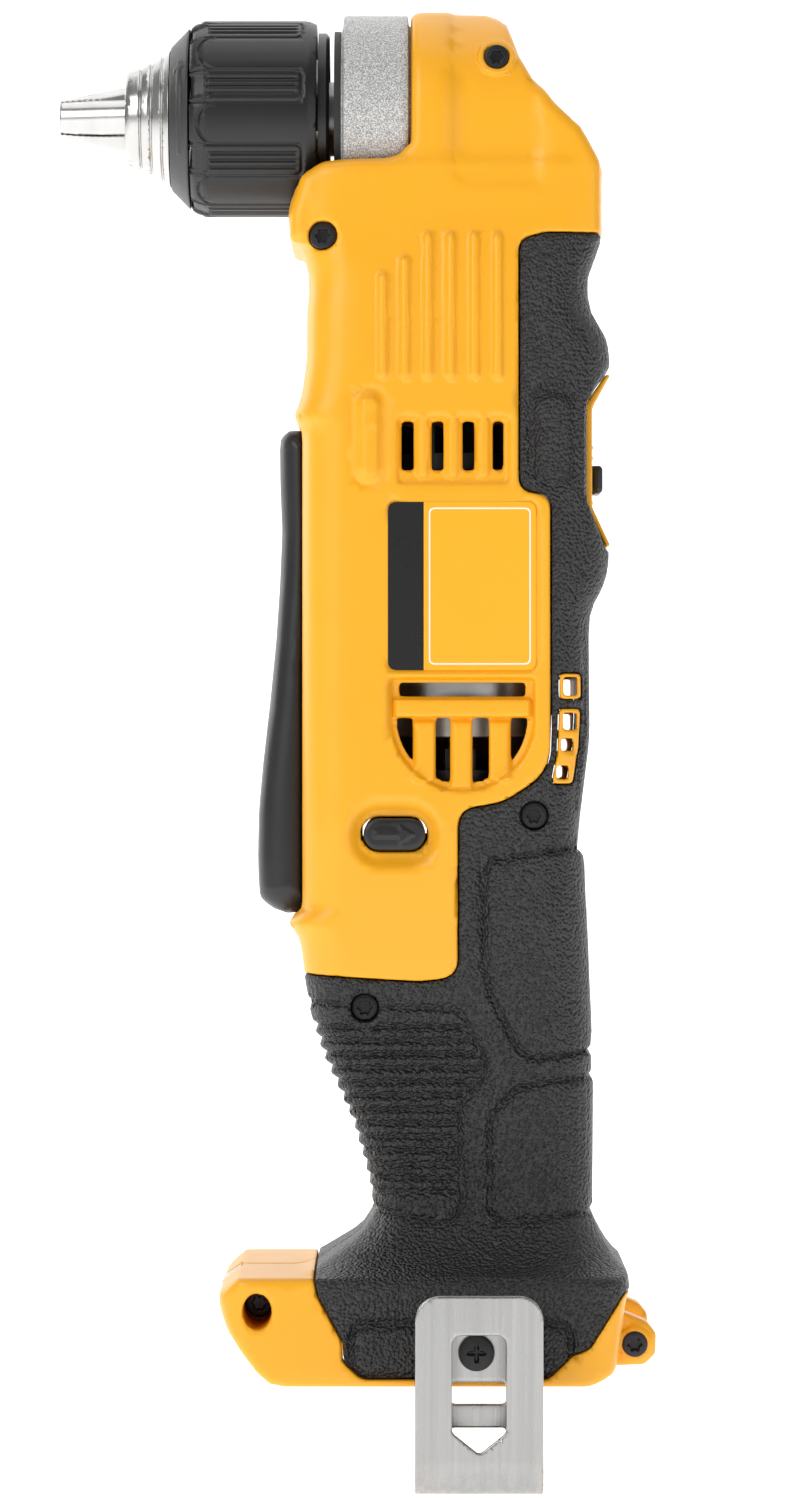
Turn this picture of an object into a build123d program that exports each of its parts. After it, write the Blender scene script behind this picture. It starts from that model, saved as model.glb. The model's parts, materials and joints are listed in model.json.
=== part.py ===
"""Right-angle cordless drill without its battery, as separate pieces.

Frame: the motor and handle axis is Z, the chuck points along -X, and the tool's left side faces -Y.
Z = 0 is the foot's flat underside, where the battery slides on. Millimetres.
"""
from build123d import *
import os
from math import atan, cos, pi, radians, sin, tan

# ---- driving dimensions -------------------------------------------------------------------------
SPINDLE_Z = 253.0          # height of the chuck and spindle axis
WALL = 2.8                 # moulded wall
SKIN = 1.5                 # depth of the rubber overmould
SIDE_R = 9.0               # radius of the body's long corners
HEAD_R = 22.0              # radius of the head
TROUGH_R = 21.3            # hollow of the shoulder around the collar and the chuck
FOOT_HALF = 33.0           # half width of the foot
BODY_HALF = 25.0           # half width of the motor body
CHANNEL_TOP = 8.0          # ceiling of the battery channel
CHANNEL_LIP = 22.0         # half width between the rails
CHANNEL_HALF = 27.0        # half width of the rail grooves
CHANNEL_BACK = 22.0        # closed end of the channel
CAVITY_FLOOR = 10.5
CAVITY_TOP = 229.0
SCREW_R = 1.5              # shank of a housing screw
BOSS_R = 4.0

COLLAR_FRONT = -23.9       # gear case collar, seen between the head and the chuck
COLLAR_BACK = -10.2
COLLAR_R = 20.9
CASE_R = 18.5              # gear case tube
CASE_BORE = 16.5
CASE_BOTTOM = 196.0
CASE_TOP = 248.0

GEAR_MODULE = 28.0 / 24    # bevel pair
GEAR_TEETH = 24
PINION_TEETH = 12
BEVEL_FACE = 5.5
SUN_MODULE = 0.75          # planetary stage
SUN_TEETH = 12
RING_TEETH = 36
STAGE_BOTTOM = 200.0
STAGE_TOP = 212.0
PLANET_ORBIT = 9.0

JAW_TIP = -80.8
JAW_TILT = 14.0            # degrees between a jaw and the spindle axis
JAW_R = 3.5
JAW_LENGTH = 30.0
JAW_ROLL = 60.0            # turns the three jaws about the spindle axis
NOSE_FRONT = -67.3
SLEEVE_FRONT = -54.2
SLEEVE_BACK = -28.7
SLEEVE_R = 19.8
CHUCK_BACK = -26.6
THREAD_END = -46.0         # front end of the spindle, inside the chuck

MOTOR_R = 18.5
MOTOR_BOTTOM = 128.0
MOTOR_TOP = 178.0
SHAFT_R = 2.5

PIVOT = (-27.0, 184.0)     # trigger pivot, X and Z
PIN_R = 1.5
TRIGGER_HALF = 13.0
TRIGGER_BACK = -28.5
PLUNGER_Z = 98.0
BUTTON = (-13.1, 108.6)    # direction button, X and Z
SELECTOR_Z = 179.8
RUNNING = 0.05             # radial clearance of a running fit
APART = 0.3                # gap between bodies that pass each other

LABEL = (0.3, 157.7, 29.6, 33.6)       # X, Z, width and height
HOOK_X = 3.4
HOOK_WIDTH = 25.0
HOOK_SCREW = (3.0, 7.1)
INSERT_R = 3.0
M4_HOLE_R = 2.0
EAR = (34.6, 7.4)
# Screws along Y: X, Z, depth of the head's seat, reach of the boss
SCREWS = ((-27.3, 227.5, 21.0, 20.2), (14.6, 112.3, 23.0, 23.5), (-19.0, 74.1, 19.0, 20.4),
          (-40.1, 14.9, 16.0, 31.5))
HEAD_SCREW = (7.25, 263.2)

# Body sections: height, front X, back X, half width, corner radius
SECTIONS = (
    (0.0, -34.6, 27.0, 31.0, 6.0),
    (3.0, -40.3, 30.5, FOOT_HALF, 8.0),
    (10.0, -45.6, 32.4, FOOT_HALF, 8.0),
    (18.0, -48.4, 33.2, FOOT_HALF, SIDE_R),
    (21.3, -43.8, 32.5, 31.6, SIDE_R),
    (21.7, -30.0, 32.3, 31.0, SIDE_R),
    (24.0, -26.6, 31.3, 27.5, SIDE_R),
    (26.9, -22.8, 29.2, 24.4, SIDE_R),
    (30.8, -18.4, 27.1, 21.6, SIDE_R),
    (34.0, -17.3, 26.3, 20.0, SIDE_R),
    (42.9, -19.1, 26.5, 19.0, SIDE_R),
    (57.5, -24.4, 26.5, 19.6, SIDE_R),
    (72.1, -29.8, 26.1, 21.3, SIDE_R),
    (84.2, -31.4, 25.5, 23.0, SIDE_R),
    (95.0, -31.5, 24.9, 24.0, SIDE_R),
    (110.0, -31.5, 24.0, BODY_HALF, SIDE_R),
    (150.0, -31.5, 25.8, BODY_HALF, SIDE_R),
    (163.0, -31.8, 29.7, BODY_HALF, SIDE_R),
    (200.0, -31.0, 29.9, BODY_HALF, SIDE_R),
    (213.0, -30.6, 25.9, 24.5, SIDE_R),
    (220.0, -29.9, 25.6, 24.0, SIDE_R),
    (232.0, -34.0, 27.8, 22.4, SIDE_R),
    (242.3, -27.6, 27.8, HEAD_R, SIDE_R),
)


# ---- helpers ------------------------------------------------------------------------------------
def both_sides(near, far):
    """Spans of Y from near to far on the left and on the right."""
    return ((-far, -near), (near, far))


def along_x(x, z=SPINDLE_Z):
    """Plane across the X axis, whose local x is world Y and whose local y is world Z."""
    return Plane(origin=(x, 0, z), x_dir=(0, 1, 0), z_dir=(1, 0, 0))


def side_plane(y):
    """Plane of the side view at depth y, whose local x and y are world X and Z."""
    return Plane(origin=(0, y, 0), x_dir=(1, 0, 0), z_dir=(0, -1, 0))


def block(x0, x1, y0, y1, z0, z1, mode=Mode.ADD):
    """Box between two corners."""
    with Locations(((x0 + x1) / 2, (y0 + y1) / 2, (z0 + z1) / 2)):
        Box(x1 - x0, y1 - y0, z1 - z0, mode=mode)


def rod_x(x0, x1, radius, y=0.0, z=SPINDLE_Z, mode=Mode.ADD):
    """Cylinder along X."""
    with Locations(Location(((x0 + x1) / 2, y, z), (0, 90, 0))):
        Cylinder(radius, x1 - x0, mode=mode)


def rod_y(x, z, y0, y1, radius, mode=Mode.ADD):
    """Cylinder along Y."""
    with Locations(Location((x, (y0 + y1) / 2, z), (90, 0, 0))):
        Cylinder(radius, y1 - y0, mode=mode)


def rod_z(z0, z1, radius, x=0.0, y=0.0, mode=Mode.ADD):
    """Cylinder along Z."""
    with Locations((x, y, (z0 + z1) / 2)):
        Cylinder(radius, z1 - z0, mode=mode)


def side_shape(points, y0, y1, radii=None, mode=Mode.ADD):
    """Outline in X and Z, extruded from depth y0 to y1."""
    with BuildSketch(side_plane(y1)) as profile:
        with BuildLine():
            if radii is None:
                Polyline(*points, close=True)
            else:
                FilletPolyline(*points, radius=radii, close=True)
        make_face()
    extrude(profile.sketch, amount=y1 - y0, mode=mode)


def turned_x(points, mode=Mode.ADD):
    """Ring turned about the spindle axis, from points (X, radius)."""
    with BuildSketch(side_plane(0)) as profile:
        with BuildLine():
            Polyline(*[(x, SPINDLE_Z + r) for x, r in points], close=True)
        make_face()
    revolve(profile.sketch, axis=Axis((0, 0, SPINDLE_Z), (1, 0, 0)), mode=mode)


def turned_z(points, mode=Mode.ADD):
    """Ring turned about the motor axis, from points (radius, Z)."""
    with BuildSketch(side_plane(0)) as profile:
        with BuildLine():
            Polyline(*points, close=True)
        make_face()
    revolve(profile.sketch, axis=Axis.Z, mode=mode)


def lofted_body(inset, low, high):
    """Body between two heights, its surface moved inwards by inset."""
    def section(z):
        below = [s for s in SECTIONS if s[0] <= z][-1]
        above = [s for s in SECTIONS if s[0] >= z][0]
        share = 0 if above[0] == below[0] else (z - below[0]) / (above[0] - below[0])
        return [z] + [b + (a - b) * share for b, a in zip(below[1:], above[1:])]

    heights = [low] + [s[0] for s in SECTIONS if low < s[0] < high] + [high]
    faces = []
    for z, front, back, half, corner in map(section, heights):
        plane = Plane.XY.offset(z)
        with BuildSketch(plane) as outline:
            with Locations(((front + back) / 2, 0)):
                RectangleRounded(back - front - 2 * inset, 2 * (half - inset), corner - inset)
        faces.append(outline.sketch.face())
    return loft(faces, ruled=True, mode=Mode.PRIVATE)


HEAD_OUTLINE = (
    (-33.0, 226.0), (28.0, 226.0), (27.8, 243.0), (24.0, 249.5), (18.6, 254.3), (12.5, 264.0),
    (10.4, 271.0), (6.0, 275.0), (COLLAR_BACK, 275.0), (COLLAR_BACK, 242.3), (-27.6, 242.3),
    (-34.0, 232.0),
)
HEAD_ROUNDS = (0, 0, 6.0, 8.0, 12.0, 8.0, 3.0, 2.5, 1.5, 1.0, 3.0, 2.0)


def head_solid(inset, bottom):
    """Head: a cylinder on top, straight sides below, its surface moved inwards by inset."""
    with BuildPart(mode=Mode.PRIVATE) as head:
        radius = HEAD_R - inset
        rod_x(-34, 28 - inset, radius)
        block(-34, 28 - inset, -radius, radius, bottom, SPINDLE_Z)
        with BuildSketch(side_plane(30)) as profile:
            with BuildLine():
                FilletPolyline(*HEAD_OUTLINE, radius=HEAD_ROUNDS, close=True)
            make_face()
            if inset > 0:
                offset(amount=-inset, kind=Kind.INTERSECTION)
        extrude(profile.sketch, amount=60, mode=Mode.INTERSECT)
    return head.part


def spur_corners(teeth, pitch, levels):
    """Corners of a toothed outline; levels are (height over the pitch circle, half width)."""
    corners = []
    for tooth in range(teeth):
        middle = 2 * pi * tooth / teeth
        sides = [(h, -w) for h, w in levels] + [(h, w) for h, w in reversed(levels)]
        for height, across in sides:
            angle = middle + across / pitch
            corners.append(((pitch + height) * cos(angle), (pitch + height) * sin(angle)))
    return corners


def spur_sketch(plane, bore=0.0):
    """Face of a sun or planet gear."""
    pitch = SUN_TEETH * SUN_MODULE / 2
    levels = ((-0.90, 0.74), (0.0, 0.44), (0.56, 0.19))
    with BuildSketch(plane) as gear:
        with BuildLine():
            Polyline(*spur_corners(SUN_TEETH, pitch, levels), close=True)
        make_face()
        if bore:
            Circle(bore, mode=Mode.SUBTRACT)
    return gear.sketch


def bevel_sketch(plane, distance, teeth, cone):
    """Cut through a bevel gear's teeth at a distance from the apex."""
    cone_length = GEAR_MODULE * GEAR_TEETH / 2 / sin(atan(GEAR_TEETH / PINION_TEETH))
    tip = distance * tan(cone + 0.75 * GEAR_MODULE / cone_length)
    pitch = distance * tan(cone)
    root = distance * tan(cone - 1.15 * GEAR_MODULE / cone_length)
    quarter = pi / 2 / teeth
    narrow = 0.42 * quarter
    wide = 1.35 * quarter
    level = 0.80 * quarter
    corners = []
    for tooth in range(teeth):
        middle = 4 * quarter * tooth
        for radius, angle in ((root, -wide), (pitch, -level), (tip, -narrow),
                              (tip, narrow), (pitch, level), (root, wide)):
            corners.append((radius * cos(middle + angle), radius * sin(middle + angle)))
    with BuildSketch(plane) as cut:
        with BuildLine():
            Polyline(*corners, close=True)
        make_face()
    return cut.sketch


os.makedirs("parts", exist_ok=True)

# ---- housing ------------------------------------------------------------------------------------
OUTER = lofted_body(0, 0.0, 242.3) + head_solid(0, 230.0)
INNER_SKIN = lofted_body(SKIN, 0.0, 242.3) + head_solid(SKIN, 230.0)
CAVITY = lofted_body(WALL, CAVITY_FLOOR, CAVITY_TOP) + head_solid(WALL, 226.5)

GRIP_REGION = (
    (40.0, 228.0), (11.7, 228.0), (11.7, 176.6), (17.9, 176.6), (17.9, 118.0), (-0.4, 112.0),
    (-0.4, 80.0), (-45.0, 80.3), (-45.0, 28.5), (-28.9, 28.5), (-28.6, 18.0), (-23.3, 9.0),
    (-23.3, 3.0), (-19.5, 1.5), (17.0, 1.5), (23.0, 6.5), (27.4, 10.5), (32.0, 18.3), (40.0, 18.3),
)
GRIP_ROUNDS = (0, 4.0, 5.0, 4.0, 9.0, 4.0, 5.0, 0, 0, 1.5, 3.0, 2.0, 1.5, 1.0, 4.0, 4.0, 4.0, 2.0, 0)

with BuildPart() as grip_skin:
    add(OUTER)
    add(INNER_SKIN, mode=Mode.SUBTRACT)
    side_shape(GRIP_REGION, -40, 40, GRIP_ROUNDS, mode=Mode.INTERSECT)
    block(23.0, 40.0, -40, 40, 165.0, 200.5, mode=Mode.SUBTRACT)
    for y_span in both_sides(25, 40):
        rod_y(*HOOK_SCREW, *y_span, INSERT_R, mode=Mode.SUBTRACT)
    block(21.0, 40.0, -23, 23, 2.0, 16.5, mode=Mode.SUBTRACT)

UPPER_SLOTS = [(-10.5, 2.4), (-4.5, 2.35), (1.6, 2.3), (7.45, 2.2)]
LOWER_SLOTS = [(-11.45, 3.9, 123.9), (-3.5, 2.8, 118.7), (4.0, 3.1, 118.7), (12.0, 4.0, 123.9)]
SADDLE_WALL = ((45.0, 205.0), (29.0, 204.0), (22.8, 195.0), (22.8, 174.0), (28.0, 162.5), (45.0, 160.0))
SADDLE = ((45.0, 203.0), (29.0, 200.4), (24.6, 194.0), (24.6, 175.0), (29.0, 166.0), (45.0, 163.0))

LENS_SPOT = Location((-45.6, 0, 19.0), (0, -36, 0))     # in the slope of the toe
TOE_WALL = ((-50, 18.6), (-29.5, 18.6), (-25, 21.2), (-20, 25), (-16, 29), (-16, 33), (-50, 33))

with BuildPart() as thick_walls:
    side_shape(SADDLE_WALL, -26, 26)
    side_shape(TOE_WALL, -FOOT_HALF, FOOT_HALF)
    add(OUTER, mode=Mode.INTERSECT)

with BuildPart() as housing:
    add(OUTER)
    add(CAVITY, mode=Mode.SUBTRACT)
    add(thick_walls.part)
    # Screw bosses, pivot bosses and ears
    for screw_x, screw_z, _, reach in SCREWS:
        rod_y(screw_x, screw_z, -reach, reach, BOSS_R)
    for y_span in both_sides(13.6, 21.5):
        rod_y(*PIVOT, *y_span, 3.4)
    for y_span in both_sides(15, 21):
        side_shape(((24.0, 2.8), (36.0, 2.8), (39.0, 6.0), (39.0, 11.5), (37.5, 13.5), (28.0, 16.0)),
                   *y_span)
    add(grip_skin.part, mode=Mode.SUBTRACT)
    rod_x(-36, COLLAR_BACK, TROUGH_R, mode=Mode.SUBTRACT)
    rod_x(-12, -7, CASE_R, mode=Mode.SUBTRACT)
    rod_z(CAVITY_TOP, CASE_TOP, CASE_R, mode=Mode.SUBTRACT)
    # Battery channel, open to the front, and the hole for the terminal block
    block(-60, CHANNEL_BACK, -CHANNEL_LIP, CHANNEL_LIP, -1, CHANNEL_TOP, mode=Mode.SUBTRACT)
    block(-60, CHANNEL_BACK, -CHANNEL_HALF, CHANNEL_HALF, 3, CHANNEL_TOP, mode=Mode.SUBTRACT)
    block(-2.1, 16.1, -12.1, 12.1, 7, 12, mode=Mode.SUBTRACT)
    # Trigger slot, vents and the openings for the controls
    block(-45, -26, -13.5, 13.5, 89.8, 191.6, mode=Mode.SUBTRACT)
    for slot_x, slot_width in UPPER_SLOTS:
        block(slot_x - slot_width / 2, slot_x + slot_width / 2, -30, 30, 180.7, 190.4,
              mode=Mode.SUBTRACT)
    block(-12.1, 12.8, -30, 30, 136.0, 138.6, mode=Mode.SUBTRACT)
    for slot_x, slot_width, slot_bottom in LOWER_SLOTS:
        block(slot_x - slot_width / 2, slot_x + slot_width / 2, -30, 30, slot_bottom, 132.0,
              mode=Mode.SUBTRACT)
    with BuildSketch(side_plane(30)) as button_hole:
        with Locations(BUTTON):
            SlotOverall(12.9, 6.9)
    extrude(button_hole.sketch, amount=60, mode=Mode.SUBTRACT)
    for y_span in both_sides(24.5, 26):
        block(LABEL[0] - LABEL[2] / 2, LABEL[0] + LABEL[2] / 2, *y_span,
              LABEL[1] - LABEL[3] / 2, LABEL[1] + LABEL[3] / 2, mode=Mode.SUBTRACT)
    side_shape(SADDLE, -30, 30, mode=Mode.SUBTRACT)
    block(20.0, 26.0, -4, 4, SELECTOR_Z - 7, SELECTOR_Z + 7, mode=Mode.SUBTRACT)
    with Locations(LENS_SPOT):
        Box(5.0, 10.0, 4.0, mode=Mode.SUBTRACT)
    # Holes for screws, pins and inserts; heads sink in from the left
    for screw_x, screw_z, head_y, _ in SCREWS:
        rod_y(screw_x, screw_z, -head_y, 12, SCREW_R, mode=Mode.SUBTRACT)
        rod_y(screw_x, screw_z, -40, -head_y + 2.0, 2.8, mode=Mode.SUBTRACT)
    rod_y(*HEAD_SCREW, -40, -14, SCREW_R, mode=Mode.SUBTRACT)
    rod_y(*HEAD_SCREW, -40, -17.6, 2.5, mode=Mode.SUBTRACT)
    rod_y(*PIVOT, -17, 17, PIN_R, mode=Mode.SUBTRACT)
    for y_span in both_sides(27.6, 40):
        rod_y(*HOOK_SCREW, *y_span, INSERT_R, mode=Mode.SUBTRACT)
    for y_span in both_sides(15.5, 30):
        rod_y(*EAR, *y_span, SCREW_R, mode=Mode.SUBTRACT)

for half_name, half_keep in (("left", Keep.TOP), ("right", Keep.BOTTOM)):
    with BuildPart() as half_shell:
        add(housing.part)
        split(bisect_by=Plane.XZ, keep=half_keep)
    half_shell.part.label = f"{half_name}_housing"
    export_step(half_shell.part, f"parts/{half_name}_housing.step")
    with BuildPart() as half_grip:
        add(grip_skin.part)
        split(bisect_by=Plane.XZ, keep=half_keep)
    half_grip.part.label = f"{half_name}_grip_overmould"
    export_step(half_grip.part, f"parts/{half_name}_grip_overmould.step")

# ---- labels, screws, bezel and LED ---------------------------------------------------------------
with BuildPart() as side_labels:
    for y_span in both_sides(24.5, 24.9):
        block(LABEL[0] - LABEL[2] / 2, LABEL[0] + LABEL[2] / 2, *y_span,
              LABEL[1] - LABEL[3] / 2, LABEL[1] + LABEL[3] / 2)
side_labels.part.label = "side_labels"
export_step(side_labels.part, "parts/side_labels.step")

with BuildPart() as housing_screws:
    for screw_x, screw_z, head_y, _ in SCREWS:
        rod_y(screw_x, screw_z, -head_y, 12, SCREW_R)
        rod_y(screw_x, screw_z, -head_y, -head_y + 2.0, 2.8)
        with Locations(Location((screw_x, -head_y, screw_z), (90, 0, 0))):
            Cylinder(1.3, 2.4, mode=Mode.SUBTRACT)
    rod_y(*HEAD_SCREW, -19.6, -9.5, SCREW_R)
    rod_y(*HEAD_SCREW, -19.6, -17.6, 2.5)
    for y_span in both_sides(15.5, 21):
        rod_y(*EAR, *y_span, SCREW_R)
    for y_span in both_sides(21, 22.4):
        rod_y(*EAR, *y_span, 2.6)
housing_screws.part.label = "housing_screws"
export_step(housing_screws.part, "parts/housing_screws.step")

BEZEL = ((30.2, 200.4), (26.4, 193.6), (26.4, 173.9), (30.2, 165.9), (29.0, 166.1), (24.6, 175.0),
         (24.6, 194.0), (29.0, 200.3))
with BuildPart() as selector_bezel:
    side_shape(BEZEL, -15, 15)
    block(20.0, 30.0, -3.4, 3.4, SELECTOR_Z - 6.2, SELECTOR_Z + 6.2, mode=Mode.SUBTRACT)
selector_bezel.part.label = "selector_bezel"
export_step(selector_bezel.part, "parts/selector_bezel.step")

with BuildPart() as led_lens:
    with Locations(LENS_SPOT):
        Box(4.9, 9.9, 1.6)
led_lens.part.label = "led_lens"
export_step(led_lens.part, "parts/led_lens.step")

# ---- gear head ----------------------------------------------------------------------------------
with BuildPart() as gear_case:
    turned_x(((COLLAR_FRONT, 0), (COLLAR_FRONT, 17.7), (-23.4, 17.7), (-23.4, COLLAR_R),
              (COLLAR_BACK, COLLAR_R),
              (COLLAR_BACK, CASE_R), (2.0, CASE_R), (10.0, 8.0), (11.0, 8.0), (11.0, 0)))
    rod_z(CASE_BOTTOM, CASE_TOP, CASE_R)
    rod_y(*HEAD_SCREW, -13.5, 13.5, 2.2)
    rod_z(219.0, SPINDLE_Z, 12.0, mode=Mode.SUBTRACT)
    turned_x(((-14.5, 0), (-14.5, CASE_BORE), (1.5, CASE_BORE), (7.6, 8.6), (7.6, 0)),
             mode=Mode.SUBTRACT)
    rod_z(CASE_BOTTOM, 219.5, CASE_BORE, mode=Mode.SUBTRACT)
    with BuildSketch(Plane.XY.offset(221.0)) as bearing_web:
        Circle(12.5)
        Circle(7.0, mode=Mode.SUBTRACT)
    extrude(bearing_web.sketch, amount=8.0)
    rod_x(-25, -22, 9.0, mode=Mode.SUBTRACT)
    rod_x(-22, -14, 16.0, mode=Mode.SUBTRACT)
    rod_x(3.0, 7.7, 8.2)
    rod_x(2.9, 9.0, 7.0, mode=Mode.SUBTRACT)
    rod_y(*HEAD_SCREW, -20, -9.5, SCREW_R, mode=Mode.SUBTRACT)
gear_case.part.label = "gear_case"
export_step(gear_case.part, "parts/gear_case.step")

with BuildPart() as front_seal_ring:
    rod_x(-25.2, COLLAR_FRONT, 17.6)
    rod_x(-26, -23, 7.9, mode=Mode.SUBTRACT)
front_seal_ring.part.label = "front_seal_ring"
export_step(front_seal_ring.part, "parts/front_seal_ring.step")

with BuildPart() as front_bearing_outer_race:
    turned_x(((-22, 16), (-15, 16), (-15, 13.6), (-22, 13.6)))
front_bearing_outer_race.part.label = "front_bearing_outer_race"
export_step(front_bearing_outer_race.part, "parts/front_bearing_outer_race.step")

with BuildPart() as rear_spindle_bush:
    turned_x(((3.0, 7.0), (9.0, 7.0), (9.0, 4.0 + RUNNING), (3.0, 4.0 + RUNNING)))
rear_spindle_bush.part.label = "rear_spindle_bush"
export_step(rear_spindle_bush.part, "parts/rear_spindle_bush.step")

with BuildPart() as carrier_bush:
    turned_z(((4.0 + RUNNING, 221.0), (7.0, 221.0), (7.0, 229.0), (4.0 + RUNNING, 229.0)))
carrier_bush.part.label = "carrier_bush"
export_step(carrier_bush.part, "parts/carrier_bush.step")

with BuildPart() as ring_gear:
    rod_z(STAGE_BOTTOM, STAGE_TOP, 16.4)
    space_levels = ((-0.60, 1.05), (0.0, 0.76), (0.95, 0.42))
    with BuildSketch(Plane.XY.offset(STAGE_BOTTOM)) as spaces:
        with BuildLine():
            Polyline(*spur_corners(RING_TEETH, RING_TEETH * SUN_MODULE / 2, space_levels), close=True)
        make_face()
    extrude(spaces.sketch.rotate(Axis.Z, 180 / RING_TEETH), amount=STAGE_TOP - STAGE_BOTTOM,
            mode=Mode.SUBTRACT)
ring_gear.part.label = "ring_gear"
export_step(ring_gear.part, "parts/ring_gear.step")

with BuildPart() as output_spindle:
    turned_x(((THREAD_END, 0), (THREAD_END, 5.2), (CHUCK_BACK, 5.2), (CHUCK_BACK, 7.5), (-22, 7.5), (-22, 6.0),
              (-15, 6.0), (-15, 7.0), (-14, 7.0), (-14, 5.0), (3.0, 5.0), (3.0, 4.0), (9.0, 4.0),
              (9.0, 0)))
    rod_x(THREAD_END - 1, -34, 2.5, mode=Mode.SUBTRACT)
output_spindle.part.label = "output_spindle"
export_step(output_spindle.part, "parts/output_spindle.step")

with BuildPart() as front_bearing_inner_race:
    turned_x(((-22, 6.0), (-22, 8.4), (-15, 8.4), (-15, 6.0)))
front_bearing_inner_race.part.label = "front_bearing_inner_race"
export_step(front_bearing_inner_race.part, "parts/front_bearing_inner_race.step")

with BuildPart() as front_bearing_balls:
    with Locations(along_x(-18.5)):
        with PolarLocations(11.0, 10):
            Sphere(2.5)
front_bearing_balls.part.label = "front_bearing_balls"
export_step(front_bearing_balls.part, "parts/front_bearing_balls.step")

GEAR_CONE = atan(GEAR_TEETH / PINION_TEETH)
CONE_LENGTH = GEAR_MODULE * GEAR_TEETH / 2 / sin(GEAR_CONE)
INNER_SCALE = 1 - BEVEL_FACE / CONE_LENGTH
GEAR_R = GEAR_MODULE * GEAR_TEETH / 2
PINION_R = GEAR_MODULE * PINION_TEETH / 2


def bevel_blank(pitch_r, apex_gap, hub_r, hub_gap):
    """Half section of a bevel gear from its apex: (distance along the axis, radius)."""
    cone = atan(pitch_r / apex_gap)
    outwards = 1.1
    inwards = 2.2
    big_tip = (apex_gap - outwards * sin(cone), pitch_r + outwards * cos(cone))
    big_root = (apex_gap + inwards * sin(cone), pitch_r - inwards * cos(cone))
    small_tip = (INNER_SCALE * apex_gap - outwards * sin(cone),
                 INNER_SCALE * pitch_r + outwards * cos(cone))
    small_root = (INNER_SCALE * apex_gap + outwards * 0.5 * sin(cone), hub_r)
    return (small_root, small_tip, big_tip, big_root, (hub_gap, big_root[1]), (hub_gap, hub_r))


with BuildPart() as bevel_gear:
    near_teeth = bevel_sketch(Plane(origin=(-2, 0, SPINDLE_Z), x_dir=(0, 0, -1), z_dir=(-1, 0, 0)),
                              2, GEAR_TEETH, GEAR_CONE)
    far_teeth = bevel_sketch(Plane(origin=(-12, 0, SPINDLE_Z), x_dir=(0, 0, -1), z_dir=(-1, 0, 0)),
                             12, GEAR_TEETH, GEAR_CONE)
    loft([near_teeth.face(), far_teeth.face()], ruled=True)
    with BuildSketch(side_plane(0)) as gear_section:
        with BuildLine():
            Polyline(*[(-d, SPINDLE_Z + r) for d, r in bevel_blank(GEAR_R, PINION_R, 5.0, 11.0)],
                     close=True)
        make_face()
    revolve(gear_section.sketch, axis=Axis((0, 0, SPINDLE_Z), (1, 0, 0)), mode=Mode.INTERSECT)
    turned_x(((-14, 5.0), (-14, 8.0), (-9.5, 11.0), (-9.0, 5.0)))
bevel_gear.part.label = "bevel_gear"
export_step(bevel_gear.part, "parts/bevel_gear.step")

with BuildPart() as bevel_pinion:
    apex = SPINDLE_Z
    near_teeth = bevel_sketch(Plane(origin=(0, 0, apex - 6), x_dir=(-1, 0, 0), z_dir=(0, 0, -1)),
                              6, PINION_TEETH, pi / 2 - GEAR_CONE)
    far_teeth = bevel_sketch(Plane(origin=(0, 0, apex - 19), x_dir=(-1, 0, 0), z_dir=(0, 0, -1)),
                             19, PINION_TEETH, pi / 2 - GEAR_CONE)
    loft([near_teeth.face().rotate(Axis.Z, 180 / PINION_TEETH),
          far_teeth.face().rotate(Axis.Z, 180 / PINION_TEETH)], ruled=True)
    with BuildSketch(side_plane(0)) as pinion_section:
        with BuildLine():
            Polyline(*[(r, apex - d) for d, r in bevel_blank(PINION_R, GEAR_R, 2.5, 20.0)], close=True)
        make_face()
    revolve(pinion_section.sketch, axis=Axis.Z, mode=Mode.INTERSECT)
    turned_z(((2.5, 230.0), (5.0, 230.0), (5.0, 236.5), (2.5, 236.5)))
bevel_pinion.part.label = "bevel_pinion"
export_step(bevel_pinion.part, "parts/bevel_pinion.step")

with BuildPart() as planet_carrier:
    rod_z(212.6, 216.5, 13.0)
    rod_z(216.5, 230.0, 4.0)
    rod_z(230.0, 242.0, 2.5)
    with BuildSketch(Plane.XY.offset(STAGE_BOTTOM)) as pins:
        with PolarLocations(PLANET_ORBIT, 3, start_angle=60):
            Circle(1.6)
    extrude(pins.sketch, amount=12.6)
planet_carrier.part.label = "planet_carrier"
export_step(planet_carrier.part, "parts/planet_carrier.step")

for index in range(3):
    orbit_angle = radians(60 + 120 * index)
    spot = Location((PLANET_ORBIT * cos(orbit_angle), PLANET_ORBIT * sin(orbit_angle), 0))
    with BuildPart() as planet:
        profile = spur_sketch(Plane.XY.offset(STAGE_BOTTOM + 0.3), 1.6 + RUNNING)
        extrude(spot * profile.rotate(Axis.Z, 180 / SUN_TEETH), amount=STAGE_TOP - STAGE_BOTTOM - 0.6)
    planet.part.label = f"planet_{index + 1}"
    export_step(planet.part, f"parts/planet_{index + 1}.step")

# ---- motor --------------------------------------------------------------------------------------
with BuildPart() as motor_can:
    rod_z(MOTOR_BOTTOM, MOTOR_TOP, MOTOR_R)
    rod_z(MOTOR_BOTTOM, MOTOR_TOP - 2, 17.0, mode=Mode.SUBTRACT)
    rod_z(MOTOR_TOP, MOTOR_TOP + 3, 6.5)
    rod_z(MOTOR_TOP - 3, MOTOR_TOP + 4, 5.0, mode=Mode.SUBTRACT)
motor_can.part.label = "motor_can"
export_step(motor_can.part, "parts/motor_can.step")

with BuildPart() as motor_magnets:
    rod_z(136.0, 172.0, 17.0)
    rod_z(136.0, 172.0, 14.8, mode=Mode.SUBTRACT)
    block(-3.5, 3.5, -20, 20, 130, 180, mode=Mode.SUBTRACT)
motor_magnets.part.label = "motor_magnets"
export_step(motor_magnets.part, "parts/motor_magnets.step")

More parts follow.
